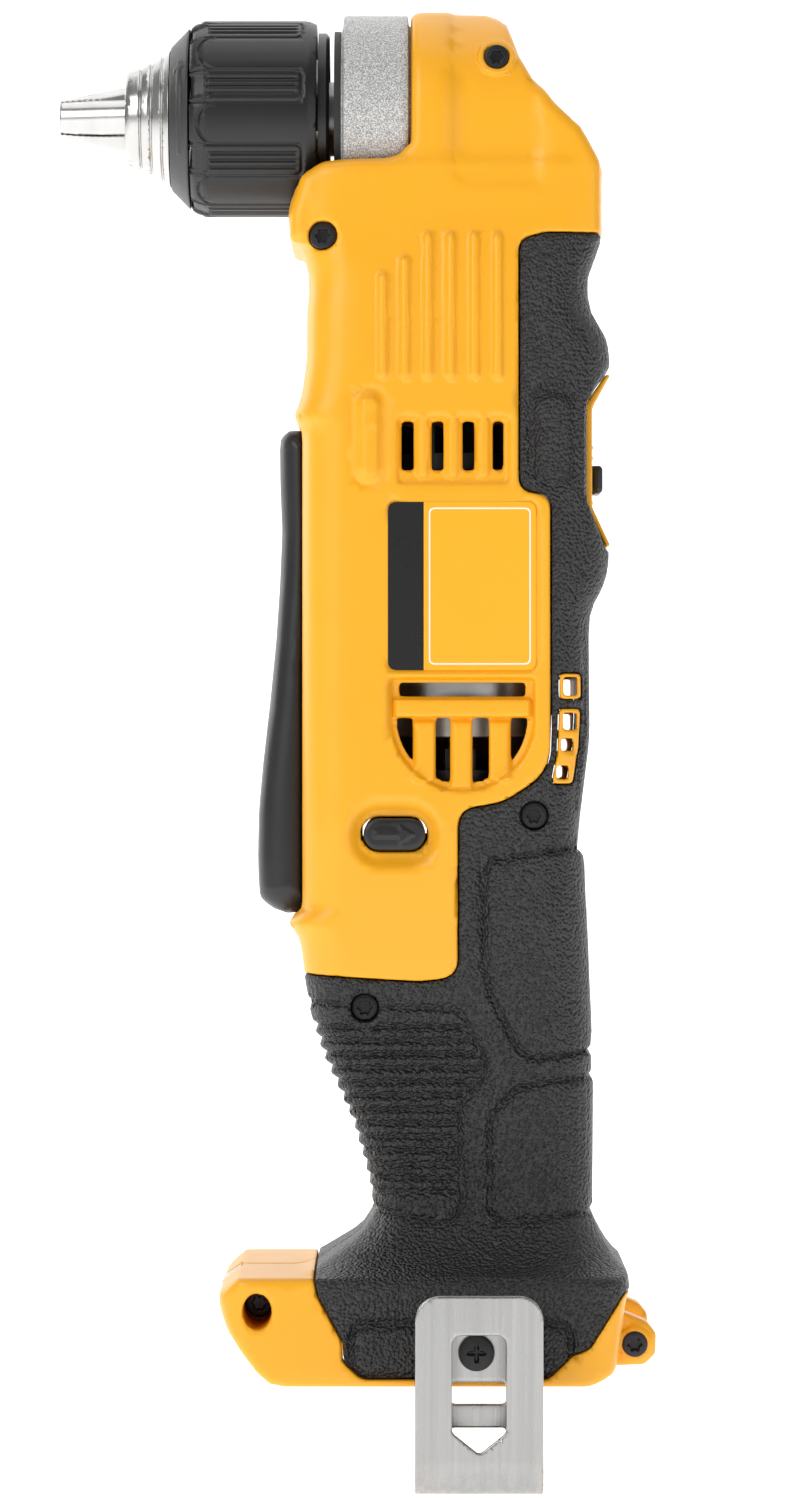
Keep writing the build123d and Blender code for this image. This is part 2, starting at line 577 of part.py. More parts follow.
with BuildPart() as motor_bushes:
    for bush_bottom in (MOTOR_TOP - 1, 113.0):
        turned_z(((SHAFT_R + RUNNING, bush_bottom), (5.0, bush_bottom), (5.0, bush_bottom + 4.0),
                  (SHAFT_R + RUNNING, bush_bottom + 4.0)))
motor_bushes.part.label = "motor_bushes"
export_step(motor_bushes.part, "parts/motor_bushes.step")

with BuildPart() as brush_end_bell:
    rod_z(117.0, MOTOR_BOTTOM, MOTOR_R)
    rod_z(119.0, MOTOR_BOTTOM + 1, 16.5, mode=Mode.SUBTRACT)
    rod_z(112.6, 119.0, 6.5)
    rod_z(112.0, 120.0, 5.0, mode=Mode.SUBTRACT)
    with PolarLocations(0, 4):
        with Locations((17.0, 0, 124.5)):
            Box(8, 12, 6.5, mode=Mode.SUBTRACT)
brush_end_bell.part.label = "brush_end_bell"
export_step(brush_end_bell.part, "parts/brush_end_bell.step")

with BuildPart() as carbon_brushes:
    for y_span in both_sides(7.4, 16.0):
        block(-3.0, 3.0, *y_span, 120.5, 125.5)
carbon_brushes.part.label = "carbon_brushes"
export_step(carbon_brushes.part, "parts/carbon_brushes.step")

with BuildPart() as armature_shaft:
    rod_z(113.4, STAGE_TOP - 0.6, SHAFT_R)
    extrude(spur_sketch(Plane.XY.offset(STAGE_BOTTOM + 0.3)), amount=STAGE_TOP - STAGE_BOTTOM - 0.9)
armature_shaft.part.label = "armature_shaft"
export_step(armature_shaft.part, "parts/armature_shaft.step")

with BuildPart() as armature_core:
    with BuildSketch(Plane.XY.offset(139.0)) as lamination:
        Circle(14.1)
        Circle(SHAFT_R, mode=Mode.SUBTRACT)
        with PolarLocations(11.4, 12):
            Rectangle(5.6, 1.6, mode=Mode.SUBTRACT)
    extrude(lamination.sketch, amount=30.0)
armature_core.part.label = "armature_core"
export_step(armature_core.part, "parts/armature_core.step")

with BuildPart() as armature_windings:
    for coil_bottom, coil_top in ((131.0, 139.0), (169.0, 176.0)):
        turned_z(((SHAFT_R, coil_bottom), (9.0, coil_bottom), (12.4, coil_bottom + 2.5),
                  (12.4, coil_top - 1.5), (9.0, coil_top), (SHAFT_R, coil_top)))
armature_windings.part.label = "armature_windings"
export_step(armature_windings.part, "parts/armature_windings.step")

with BuildPart() as commutator:
    with BuildSketch(Plane.XY.offset(119.5)) as segments:
        Circle(7.0)
        Circle(SHAFT_R, mode=Mode.SUBTRACT)
        with PolarLocations(6.8, 12):
            Rectangle(1.4, 0.5, mode=Mode.SUBTRACT)
    extrude(segments.sketch, amount=9.0)
commutator.part.label = "commutator"
export_step(commutator.part, "parts/commutator.step")

with BuildPart() as cooling_fan:
    rod_z(181.4, 184.6, 16.0)
    rod_z(184.6, 190.5, 5.0)
    with BuildSketch(Plane.XY.offset(184.6)) as blades:
        with PolarLocations(10.3, 9):
            Rectangle(11.2, 1.2, rotation=25)
    extrude(blades.sketch, amount=5.9)
    rod_z(181.0, 192.0, SHAFT_R, mode=Mode.SUBTRACT)
cooling_fan.part.label = "cooling_fan"
export_step(cooling_fan.part, "parts/cooling_fan.step")

# ---- chuck --------------------------------------------------------------------------------------
def jaw_frame(index, slide=0.0):
    """Location of a jaw: local z runs back along the jaw from its tip, local x points outwards."""
    turn = radians(JAW_ROLL + 120 * index)
    outwards = (0, cos(turn), sin(turn))
    tilt = radians(JAW_TILT)
    along = (cos(tilt), sin(tilt) * outwards[1], sin(tilt) * outwards[2])
    tip_r = 0.3
    origin = (JAW_TIP + slide * along[0], tip_r * outwards[1] + slide * along[1],
              SPINDLE_Z + tip_r * outwards[2] + slide * along[2])
    across = (-sin(tilt), cos(tilt) * outwards[1], cos(tilt) * outwards[2])
    return Plane(origin=origin, x_dir=across, z_dir=along)


with BuildPart() as chuck_body:
    turned_x(((NOSE_FRONT, 5.2), (NOSE_FRONT, 9.1), (-66.5, 9.7), (-64.4, 9.9), (-64.4, 9.3),
              (-63.8, 9.3), (-63.8, 11.2), (-61.6, 12.2), (-61.6, 11.6), (-61.0, 11.6), (-61.0, 12.8),
              (-58.6, 14.4), (-58.4, 14.4), (-58.4, 13.6), (-41.6, 13.6), (-41.6, 15.0), (-30.0, 15.0),
              (-30.0, 12.0), (CHUCK_BACK, 12.0), (CHUCK_BACK, 5.2)))
    for index in range(3):
        bore = Cylinder(3.6, 56, align=(Align.CENTER, Align.CENTER, Align.MIN), mode=Mode.PRIVATE)
        add(jaw_frame(index).location * Pos(0, 0, -5) * bore, mode=Mode.SUBTRACT)
chuck_body.part.label = "chuck_body"
export_step(chuck_body.part, "parts/chuck_body.step")

with BuildPart() as chuck_rear_ring:
    turned_x(((-28.4, 12.0), (-28.4, 17.3), (-26.8, 17.3), (-26.2, 16.6), (-26.2, 12.0)))
chuck_rear_ring.part.label = "chuck_rear_ring"
export_step(chuck_rear_ring.part, "parts/chuck_rear_ring.step")

with BuildPart() as chuck_screw:
    rod_x(THREAD_END, -35, 2.5)
    rod_x(THREAD_END - 2, THREAD_END, 3.4)
    rod_x(THREAD_END - 2.1, THREAD_END - 0.8, 1.6, mode=Mode.SUBTRACT)
chuck_screw.part.label = "chuck_screw"
export_step(chuck_screw.part, "parts/chuck_screw.step")

with BuildPart() as chuck_sleeve:
    turned_x(((SLEEVE_FRONT, 13.6 + RUNNING), (SLEEVE_FRONT, 18.5), (-52.4, SLEEVE_R),
              (-30.4, SLEEVE_R), (SLEEVE_BACK, 18.9), (SLEEVE_BACK, 18.0), (-52.0, 18.0),
              (-52.0, 13.6 + RUNNING)))
    with Locations(along_x(-43)):
        with PolarLocations(SLEEVE_R, 8, start_angle=-8.6 + 22.5):
            for groove in (-1, 0, 1):
                with Locations((0, 1.8 * groove, 0)):
                    Box(1.0, 0.8, 19.0, mode=Mode.SUBTRACT)
chuck_sleeve.part.label = "chuck_sleeve"
export_step(chuck_sleeve.part, "parts/chuck_sleeve.step")

with BuildPart() as chuck_front_cap:
    turned_x(((-58.2, 13.6 + RUNNING), (-58.2, 14.4), (SLEEVE_FRONT, 18.5),
              (SLEEVE_FRONT, 13.6 + RUNNING)))
chuck_front_cap.part.label = "chuck_front_cap"
export_step(chuck_front_cap.part, "parts/chuck_front_cap.step")

with BuildPart() as jaw_nut:
    turned_x(((-48.0, 14.0), (-48.0, 18.0), (-42.0, 18.0), (-42.0, 14.0)))
jaw_nut.part.label = "jaw_nut"
export_step(jaw_nut.part, "parts/jaw_nut.step")

for index in range(3):
    with BuildPart() as jaw:
        frame = jaw_frame(index)
        add(frame.location * Cylinder(JAW_R, JAW_LENGTH, align=(Align.CENTER, Align.CENTER, Align.MIN),
                                      mode=Mode.PRIVATE))
        # Gripping faces: a wedge of 120 degrees about the spindle axis, and a flat tip
        with BuildSketch(along_x(JAW_TIP - 6)) as wedge:
            with BuildLine():
                turn = radians(JAW_ROLL + 120 * index)
                reach = 40.0
                gap = 0.12
                start = (gap * cos(turn), gap * sin(turn))
                Polyline(start, (start[0] + reach * cos(turn - pi / 3), start[1] + reach * sin(turn - pi / 3)),
                         (start[0] + reach * cos(turn), start[1] + reach * sin(turn)),
                         (start[0] + reach * cos(turn + pi / 3), start[1] + reach * sin(turn + pi / 3)),
                         close=True)
            make_face()
        extrude(wedge.sketch, amount=60, mode=Mode.INTERSECT)
        block(JAW_TIP - 5, JAW_TIP, -9, 9, SPINDLE_Z - 9, SPINDLE_Z + 9, mode=Mode.SUBTRACT)
    jaw.part.label = f"jaw_{index + 1}"
    export_step(jaw.part, f"parts/jaw_{index + 1}.step")

# ---- trigger, switch and controls -----------------------------------------------------------------
TRIGGER_FRONT = ((-34.4, 189.6), (-36.2, 187.6), (-36.1, 179.0), (-35.7, 169.3), (-36.1, 159.5),
                 (-36.9, 147.4), (-38.1, 135.2), (-39.5, 123.1), (-40.4, 113.4), (-40.6, 103.7),
                 (-40.3, 95.6), (-36.0, 92.4), (-33.0, 92.6))
with BuildPart() as paddle_trigger:
    side_shape(TRIGGER_FRONT + ((TRIGGER_BACK, 93.5), (TRIGGER_BACK, 184.0), (TRIGGER_BACK, 189.6)),
               -TRIGGER_HALF, TRIGGER_HALF)
    long_edges = paddle_trigger.edges().filter_by_position(Axis.X, -41, -33.5)
    chamfer([e for e in long_edges if abs(abs(e.center().Y) - TRIGGER_HALF) < 0.01
             and abs((e @ 0).Z - (e @ 1).Z) > 2.5], length=3.5)
    for y_span in both_sides(8, TRIGGER_HALF):
        rod_y(*PIVOT, *y_span, 3.4)
    block(-34.0, -20.0, -8, 8, 176.0, 196.0, mode=Mode.SUBTRACT)
    block(-33.5, -20.0, -10.5, 10.5, 108.0, 172.0, mode=Mode.SUBTRACT)
    rod_y(*PIVOT, -14, 14, PIN_R + RUNNING, mode=Mode.SUBTRACT)
paddle_trigger.part.label = "paddle_trigger"
export_step(paddle_trigger.part, "parts/paddle_trigger.step")

with BuildPart() as trigger_pivot_pin:
    rod_y(*PIVOT, -17, 17, PIN_R)
trigger_pivot_pin.part.label = "trigger_pivot_pin"
export_step(trigger_pivot_pin.part, "parts/trigger_pivot_pin.step")

with BuildPart() as trigger_spring:
    for coil in range(5):
        with Locations(Location((PIVOT[0], -5.0 + 2.5 * coil, PIVOT[1]), (90, 0, 0))):
            Torus(2.6, 0.5)
trigger_spring.part.label = "trigger_spring"
export_step(trigger_spring.part, "parts/trigger_spring.step")

with BuildPart() as switch_body:
    block(-5, 16, -11, 11, 84, 104)
    rod_x(-6, 12.5, 3.0 + RUNNING, z=PLUNGER_Z, mode=Mode.SUBTRACT)
    fillet(switch_body.edges().filter_by(Axis.Z), radius=1.5)
switch_body.part.label = "switch_body"
export_step(switch_body.part, "parts/switch_body.step")

with BuildPart() as switch_plunger:
    rod_x(-26.2, 0, 3.0, z=PLUNGER_Z)
    rod_x(TRIGGER_BACK + APART, -26.2, 1.5, z=PLUNGER_Z)
switch_plunger.part.label = "switch_plunger"
export_step(switch_plunger.part, "parts/switch_plunger.step")

with BuildPart() as direction_button:
    with BuildSketch(side_plane(25.6)) as button_face:
        with Locations(BUTTON):
            SlotOverall(12.3, 6.3)
    extrude(button_face.sketch, amount=51.2)
    block(-8.0, 1.0, -2, 2, 105.6, 108.4)
direction_button.part.label = "direction_button"
export_step(direction_button.part, "parts/direction_button.step")

with BuildPart() as selector_button:
    side_shape(((26.7, SELECTOR_Z - 2.9), (28.0, SELECTOR_Z - 2.9), (28.9, SELECTOR_Z - 1.6),
                (28.9, SELECTOR_Z + 1.6), (28.0, SELECTOR_Z + 2.9), (26.7, SELECTOR_Z + 2.9)), -6, 6)
    block(24.0, 26.7, -3.0, 3.0, SELECTOR_Z - 2.9, SELECTOR_Z + 2.9)
selector_button.part.label = "selector_button"
export_step(selector_button.part, "parts/selector_button.step")

with BuildPart() as shift_fork:
    block(22.2, 24.0, -3.0, 3.0, SELECTOR_Z - 2.9, SELECTOR_Z + 2.9)
    block(20.4, 22.2, -3.0, 3.0, SELECTOR_Z - 2.9, 217.0)
    rod_z(214.0, 217.0, 21.0)
    rod_z(213.0, 218.0, 18.9, mode=Mode.SUBTRACT)
shift_fork.part.label = "shift_fork"
export_step(shift_fork.part, "parts/shift_fork.step")

with BuildPart() as control_module:
    block(-8, 12, -9, 9, 45, 75)
    fillet(control_module.edges().filter_by(Axis.Z), radius=2)
control_module.part.label = "control_module"
export_step(control_module.part, "parts/control_module.step")

WIRE_R = 1.1
with BuildPart() as internal_wires:
    for wire_y in (-5.0, 5.0):
        rod_z(16.0, 45.0, WIRE_R, 4.0, wire_y)
        rod_z(75.0, 84.0, WIRE_R, 4.0, wire_y)
        rod_z(104.0, 117.0, WIRE_R, 7.8, wire_y)
internal_wires.part.label = "internal_wires"
export_step(internal_wires.part, "parts/internal_wires.step")

with BuildPart() as terminal_block:
    block(-2, 16, -12, 12, 3.4, 16)
terminal_block.part.label = "terminal_block"
export_step(terminal_block.part, "parts/terminal_block.step")

with BuildPart() as contact_blades:
    for blade_y in (-8.0, -3.0, 3.0, 8.0):
        block(-14, -2, blade_y - 0.4, blade_y + 0.4, 4.2, 7.2)
contact_blades.part.label = "contact_blades"
export_step(contact_blades.part, "parts/contact_blades.step")

# ---- belt hook ------------------------------------------------------------------------------------
HOOK_OUT = -45.0
HOOK_IN = -33.0
STEEL = 1.5
BEND_R = (HOOK_IN - HOOK_OUT) / 2
BEND_Z = -20.0 + BEND_R
with BuildPart() as belt_hook:
    hook_left = HOOK_X - HOOK_WIDTH / 2
    hook_right = HOOK_X + HOOK_WIDTH / 2
    block(hook_left, hook_right, HOOK_OUT, HOOK_OUT + STEEL, BEND_Z, 19.3)
    block(hook_left, hook_right, HOOK_IN - STEEL, HOOK_IN, BEND_Z, 14.0)
    with BuildSketch(Plane(origin=(hook_left, 0, 0), x_dir=(0, 1, 0), z_dir=(1, 0, 0))) as bend:
        with Locations(((HOOK_OUT + HOOK_IN) / 2, BEND_Z)):
            Circle(BEND_R)
            Circle(BEND_R - STEEL, mode=Mode.SUBTRACT)
            Rectangle(30, 20, align=(Align.CENTER, Align.MIN), mode=Mode.SUBTRACT)
    extrude(bend.sketch, amount=HOOK_WIDTH)
    fillet([e for e in belt_hook.edges().filter_by(Axis.Y) if e.center().Z > 13.5], radius=5.0)
    side_shape(((HOOK_X - 5.3, 11.5), (HOOK_X + 5.3, 11.5), (HOOK_X + 5.3, -7.4), (HOOK_X, -11.6),
                (HOOK_X - 5.3, -7.4)), HOOK_OUT - 1, HOOK_OUT + 3, (2, 2, 1.5, 1.5, 1.5),
               mode=Mode.SUBTRACT)
    block(HOOK_X - 5.3, HOOK_X + 5.3, HOOK_IN - 3, HOOK_IN + 1, -3.0, 1.2, mode=Mode.SUBTRACT)
    block(HOOK_X - 5.3, HOOK_X + 5.3, HOOK_IN - 3, HOOK_IN + 1, -13.0, -7.7, mode=Mode.SUBTRACT)
    rod_y(*HOOK_SCREW, -35, -32, M4_HOLE_R, mode=Mode.SUBTRACT)
belt_hook.part.label = "belt_hook"
export_step(belt_hook.part, "parts/belt_hook.step")

with BuildPart() as belt_hook_screw:
    rod_y(*HOOK_SCREW, HOOK_IN - STEEL, -28.0, M4_HOLE_R)
    rod_y(*HOOK_SCREW, HOOK_IN - STEEL - 1.6, HOOK_IN - STEEL, 3.6)
    rod_y(*HOOK_SCREW, -37, -35.6, 1.5, mode=Mode.SUBTRACT)
belt_hook_screw.part.label = "belt_hook_screw"
export_step(belt_hook_screw.part, "parts/belt_hook_screw.step")

with BuildPart() as hook_inserts:
    for y_span in both_sides(27.6, -HOOK_IN):
        rod_y(*HOOK_SCREW, *y_span, INSERT_R)
    for y_span in both_sides(28.0, 34):
        rod_y(*HOOK_SCREW, *y_span, M4_HOLE_R, mode=Mode.SUBTRACT)
hook_inserts.part.label = "hook_inserts"
export_step(hook_inserts.part, "parts/hook_inserts.step")
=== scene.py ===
"""Looks of the right-angle cordless drill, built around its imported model.

Every size is in millimetres in the model's own frame until a mesh is made: the motor and handle axis
is Z, the chuck points along -X, and the tool's left side faces -Y.
"""
import json
import logging
from dataclasses import dataclass, field
from enum import Enum
from math import cos, pi, radians, sin, tan

import bmesh
import bpy
import numpy as np
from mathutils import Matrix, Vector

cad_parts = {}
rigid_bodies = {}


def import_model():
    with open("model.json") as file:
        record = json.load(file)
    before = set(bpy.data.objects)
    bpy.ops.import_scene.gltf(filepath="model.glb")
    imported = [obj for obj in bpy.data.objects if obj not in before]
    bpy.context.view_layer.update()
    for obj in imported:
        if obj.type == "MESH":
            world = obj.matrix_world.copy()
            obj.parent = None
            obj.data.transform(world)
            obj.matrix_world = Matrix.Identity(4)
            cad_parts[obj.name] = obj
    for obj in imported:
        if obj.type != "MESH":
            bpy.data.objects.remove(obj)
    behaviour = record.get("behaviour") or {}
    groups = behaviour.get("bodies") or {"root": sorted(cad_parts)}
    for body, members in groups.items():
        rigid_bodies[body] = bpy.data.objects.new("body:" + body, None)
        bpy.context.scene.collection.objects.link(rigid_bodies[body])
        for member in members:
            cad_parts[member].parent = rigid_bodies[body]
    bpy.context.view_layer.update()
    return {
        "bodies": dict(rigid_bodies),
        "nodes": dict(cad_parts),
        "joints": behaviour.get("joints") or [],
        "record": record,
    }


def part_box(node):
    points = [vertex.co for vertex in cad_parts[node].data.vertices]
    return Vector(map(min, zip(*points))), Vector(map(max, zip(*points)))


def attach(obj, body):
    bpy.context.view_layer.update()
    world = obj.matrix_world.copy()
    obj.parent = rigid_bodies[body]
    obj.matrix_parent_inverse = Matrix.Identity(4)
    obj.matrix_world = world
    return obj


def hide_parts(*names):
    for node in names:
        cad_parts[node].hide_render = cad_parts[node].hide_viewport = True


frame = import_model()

import openvdb
from mathutils import Matrix, Vector

LOG = logging.getLogger("drill")
MM = 0.001
Array = np.ndarray
Point = tuple[float, float]


def node_box(node: str) -> tuple[Array, Array]:
    """Lowest and highest corner of a CAD node, in mm."""
    low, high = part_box(node)
    return np.array(low) / MM, np.array(high) / MM


def joint_place(name: str) -> Array:
    """Anchor point of a joint, in mm."""
    return np.array(next(j["pos_m"] for j in frame["joints"] if j["name"] == name)) / MM


SPINDLE_Z = float(joint_place("spindle_turn")[2])


# ---- shaping by signed distance ------------------------------------------------------------------
def meet(a: Array, b: Array, radius: float = 0.0) -> Array:
    """What two shapes share, with the edge between them rounded.

    Args:
        a: signed distance to the first shape, negative inside.
        b: signed distance to the second shape.
        radius: radius of the rounded edge.

    Returns:
        The signed distance to the shared shape.
    """
    if radius <= 0:
        return np.maximum(a, b)
    outside = np.hypot(np.maximum(a + radius, 0), np.maximum(b + radius, 0))
    return np.minimum(np.maximum(a, b), -radius) + outside


def join(a: Array, b: Array, radius: float = 0.0) -> Array:
    """Both shapes together, with a fillet of a radius between them."""
    return -meet(-a, -b, radius)


def cut(a: Array, b: Array, radius: float = 0.0) -> Array:
    """The first shape without the second, with the edge rounded."""
    return meet(a, -b, radius)


def ramp(value: Array, start: float, end: float) -> Array:
    """Smooth step over a value.

    Args:
        value: what is read.
        start: where the step is still 0.
        end: where it reaches 1, on either side of start.

    Returns:
        The step, from 0 to 1.
    """
    share = np.clip((value - start) / (end - start), 0, 1)
    return share * share * (3 - 2 * share)


def slab(value: Array, low: float, high: float) -> Array:
    """Signed distance to the space between two parallel planes."""
    return np.abs(value - (low + high) / 2) - (high - low) / 2


def rectangle(u: Array, v: Array, low: Point, high: Point, radius: float = 0.0) -> Array:
    """Signed distance to a rectangle with rounded corners.

    Args:
        u: first coordinate.
        v: second coordinate.
        low: corner with the lowest coordinates.
        high: corner with the highest coordinates.
        radius: radius of the corners.

    Returns:
        The distance, negative inside.
    """
    reach_u = np.abs(u - (low[0] + high[0]) / 2) - (high[0] - low[0]) / 2 + radius
    reach_v = np.abs(v - (low[1] + high[1]) / 2) - (high[1] - low[1]) / 2 + radius
    inside = np.minimum(np.maximum(reach_u, reach_v), 0)
    return inside + np.hypot(np.maximum(reach_u, 0), np.maximum(reach_v, 0)) - radius


def rounded(points: list[Point], radii: list[float] | float, steps: int = 5) -> list[Point]:
    """Outline with its corners turned into arcs.

    Args:
        points: corners of a closed outline.
        radii: one radius for all corners, or one for each.
        steps: points on each arc.

    Returns:
        The corners of the rounded outline.
    """
    sizes = [radii] * len(points) if isinstance(radii, (int, float)) else radii
    result = []
    for i, radius in enumerate(sizes):
        here, before, after = (np.array(points[(i + k) % len(points)], float) for k in (0, -1, 1))
        arm_a, arm_b = before - here, after - here
        length_a, length_b = np.hypot(*arm_a), np.hypot(*arm_b)
        arm_a, arm_b = arm_a / length_a, arm_b / length_b
        half = np.arccos(np.clip(arm_a @ arm_b, -1, 1)) / 2
        if radius <= 0 or half > 1.5:
            result.append(tuple(here))
            continue
        reach = min(radius / tan(half), 0.49 * length_a, 0.49 * length_b)
        for step in range(steps + 1):
            share = step / steps
            near = here + arm_a * reach * (1 - share) ** 2 + arm_b * reach * share ** 2
            result.append(tuple(near))
    return result


def polygon(u: Array, v: Array, points: list[Point]) -> Array:
    """Signed distance to a closed outline.

    Args:
        u: first coordinate.
        v: second coordinate.
        points: the outline's corners in order.

    Returns:
        The distance, negative inside.
    """
    near = np.full(np.broadcast(u, v).shape, 1e9, np.float32)
    inside = np.zeros(near.shape, bool)
    for (u0, v0), (u1, v1) in zip(points, points[1:] + points[:1]):
        along_u, along_v = u1 - u0, v1 - v0
        length = along_u ** 2 + along_v ** 2
        if length < 1e-9:
            continue
        share = np.clip(((u - u0) * along_u + (v - v0) * along_v) / length, 0, 1)
        near = np.minimum(near, (u - u0 - share * along_u) ** 2 + (v - v0 - share * along_v) ** 2)
        crosses = (v0 > v) != (v1 > v)
        inside ^= crosses & (u < along_u * (v - v0) / (along_v if along_v else 1e-9) + u0)
    return np.where(inside, -1.0, 1.0) * np.sqrt(near)


def stroke(u: Array, v: Array, points: list[Point]) -> Array:
    """Distance to an open line.

    Args:
        u: first coordinate.
        v: second coordinate.
        points: the points that the line goes through.

    Returns:
        The distance, 0 on the line.
    """
    near = np.full(np.broadcast(u, v).shape, 1e9, np.float32)
    for (u0, v0), (u1, v1) in zip(points, points[1:]):
        along_u, along_v = u1 - u0, v1 - v0
        share = np.clip(((u - u0) * along_u + (v - v0) * along_v)
                        / max(along_u ** 2 + along_v ** 2, 1e-9), 0, 1)
        near = np.minimum(near, (u - u0 - share * along_u) ** 2 + (v - v0 - share * along_v) ** 2)
    return np.sqrt(near)


class Block:
    """A block of space in which a piece is shaped, with coordinates in mm."""

    def __init__(self, low: tuple, high: tuple, step: float) -> None:
        """Lays a regular grid of points between two corners.

        Args:
            low: the block's lowest corner.
            high: its highest corner.
        """
        self.step = step * 1.0
        self.low = np.array(low, float)
        counts = [int(np.ceil((h - l) / self.step)) + 1 for l, h in zip(low, high)]
        axes = [(l + self.step * np.arange(n)).astype(np.float32) for l, n in zip(low, counts)]
        self.x = axes[0][:, None, None]
        self.y = axes[1][None, :, None]
        self.z = axes[2][None, None, :]
        self.shape = tuple(counts)

    def mesh(self, name: str, distance: Array, simplify: float = 0.15) -> bpy.types.Mesh:
        """Skin of a shape as a mesh in metres, with normals from the distance field.

        Args:
            name: name of the mesh.
            distance: signed distance to the shape on this block's points.
            simplify: how far flat stretches may be merged, from 0 to 1.

        Returns:
            The mesh.
        """
        band = 3 * self.step
        values = np.clip(np.broadcast_to(distance, self.shape), -band, band).astype(np.float32)
        for axis in range(3):
            edge = [slice(None)] * 3
            for end in (0, -1):
                edge[axis] = end
                values[tuple(edge)] = np.maximum(values[tuple(edge)], self.step)
        grid = openvdb.FloatGrid(band)
        grid.copyFromArray(values)
        points, triangles, quads = grid.convertToPolygons(isovalue=0.0, adaptivity=simplify)
        mesh = bpy.data.meshes.new(name)
        spots = self.low + points * self.step
        mesh.vertices.add(len(points))
        mesh.vertices.foreach_set("co", (spots * MM).astype(np.float32).ravel())
        corners = np.concatenate([triangles.ravel(), quads.ravel()])
        sizes = np.concatenate([np.full(len(triangles), 3), np.full(len(quads), 4)])
        mesh.loops.add(len(corners))
        mesh.loops.foreach_set("vertex_index", corners.astype(np.int32))
        mesh.polygons.add(len(sizes))
        starts = np.concatenate([[0], np.cumsum(sizes)[:-1]])
        mesh.polygons.foreach_set("loop_start", starts.astype(np.int32))
        mesh.polygons.foreach_set("loop_total", sizes.astype(np.int32))
        mesh.update(calc_edges=True)
        mesh.validate()
        mesh.shade_smooth()
        mesh.normals_split_custom_set_from_vertices(self._normals(values, points))
        return mesh

    @staticmethod
    def _normals(values: Array, points: Array) -> Array:
        """Outward directions of a distance field.

        Args:
            values: the field on its grid.
            points: places in grid steps.

        Returns:
            A unit vector for each place.
        """
        def sample(at: Array) -> Array:
            """Reads the field between its points.

            Args:
                at: places in grid steps.

            Returns:
                The field's value at each place.
            """
            at = np.clip(at, 0, np.array(values.shape) - 1.001)
            base = at.astype(int)
            rest = at - base
            total = np.zeros(len(at))
            for corner in range(8):
                offset = np.array([(corner >> k) & 1 for k in range(3)])
                weight = np.prod(np.where(offset, rest, 1 - rest), axis=1)
                total += weight * values[tuple((base + offset).T)]
            return total

        slopes = np.stack([sample(points + 0.6 * e) - sample(points - 0.6 * e) for e in np.eye(3)], 1)
        return slopes / np.maximum(np.linalg.norm(slopes, axis=1, keepdims=True), 1e-9)


def mirrored(mesh: bpy.types.Mesh) -> bpy.types.Mesh:
    """Turns a mesh over to the other side of the tool's middle plane.

    Args:
        mesh: the mesh, which is changed.

    Returns:
        The same mesh.
    """
    normals = np.array([n.vector for n in mesh.corner_normals])
    corner_vertex = np.array([loop.vertex_index for loop in mesh.loops])
    by_vertex = np.zeros((len(mesh.vertices), 3))
    by_vertex[corner_vertex] = normals
    mesh.transform(Matrix.Scale(-1, 4, (0, 1, 0)))
    mesh.flip_normals()
    by_vertex[:, 1] *= -1
    mesh.normals_split_custom_set_from_vertices(by_vertex)
    return mesh


# ---- shader writing ------------------------------------------------------------------------------
class Link:
    """A shader value, with operators that add Math nodes."""

    def __init__(self, finish: "Finish", socket: bpy.types.NodeSocket) -> None:
        """Wraps an output socket of a finish's node tree."""
        self.finish = finish
        self.socket = socket

    def _math(self, operation: str, first: "Link | float", second: "Link | float") -> "Link":
        """One Math node."""
        return self.finish.node("ShaderNodeMath", {"operation": operation}, {0: first, 1: second})

    def __add__(self, other: "Link | float") -> "Link":
        """Sum."""
        return self._math("ADD", self, other)

    __radd__ = __add__

    def __mul__(self, other: "Link | float") -> "Link":
        """Product."""
        return self._math("MULTIPLY", self, other)

    __rmul__ = __mul__

    def __sub__(self, other: "Link | float") -> "Link":
        """Difference."""
        return self._math("SUBTRACT", self, other)

    def __rsub__(self, other: float) -> "Link":
        """Difference from a number."""
        return self._math("SUBTRACT", other, self)


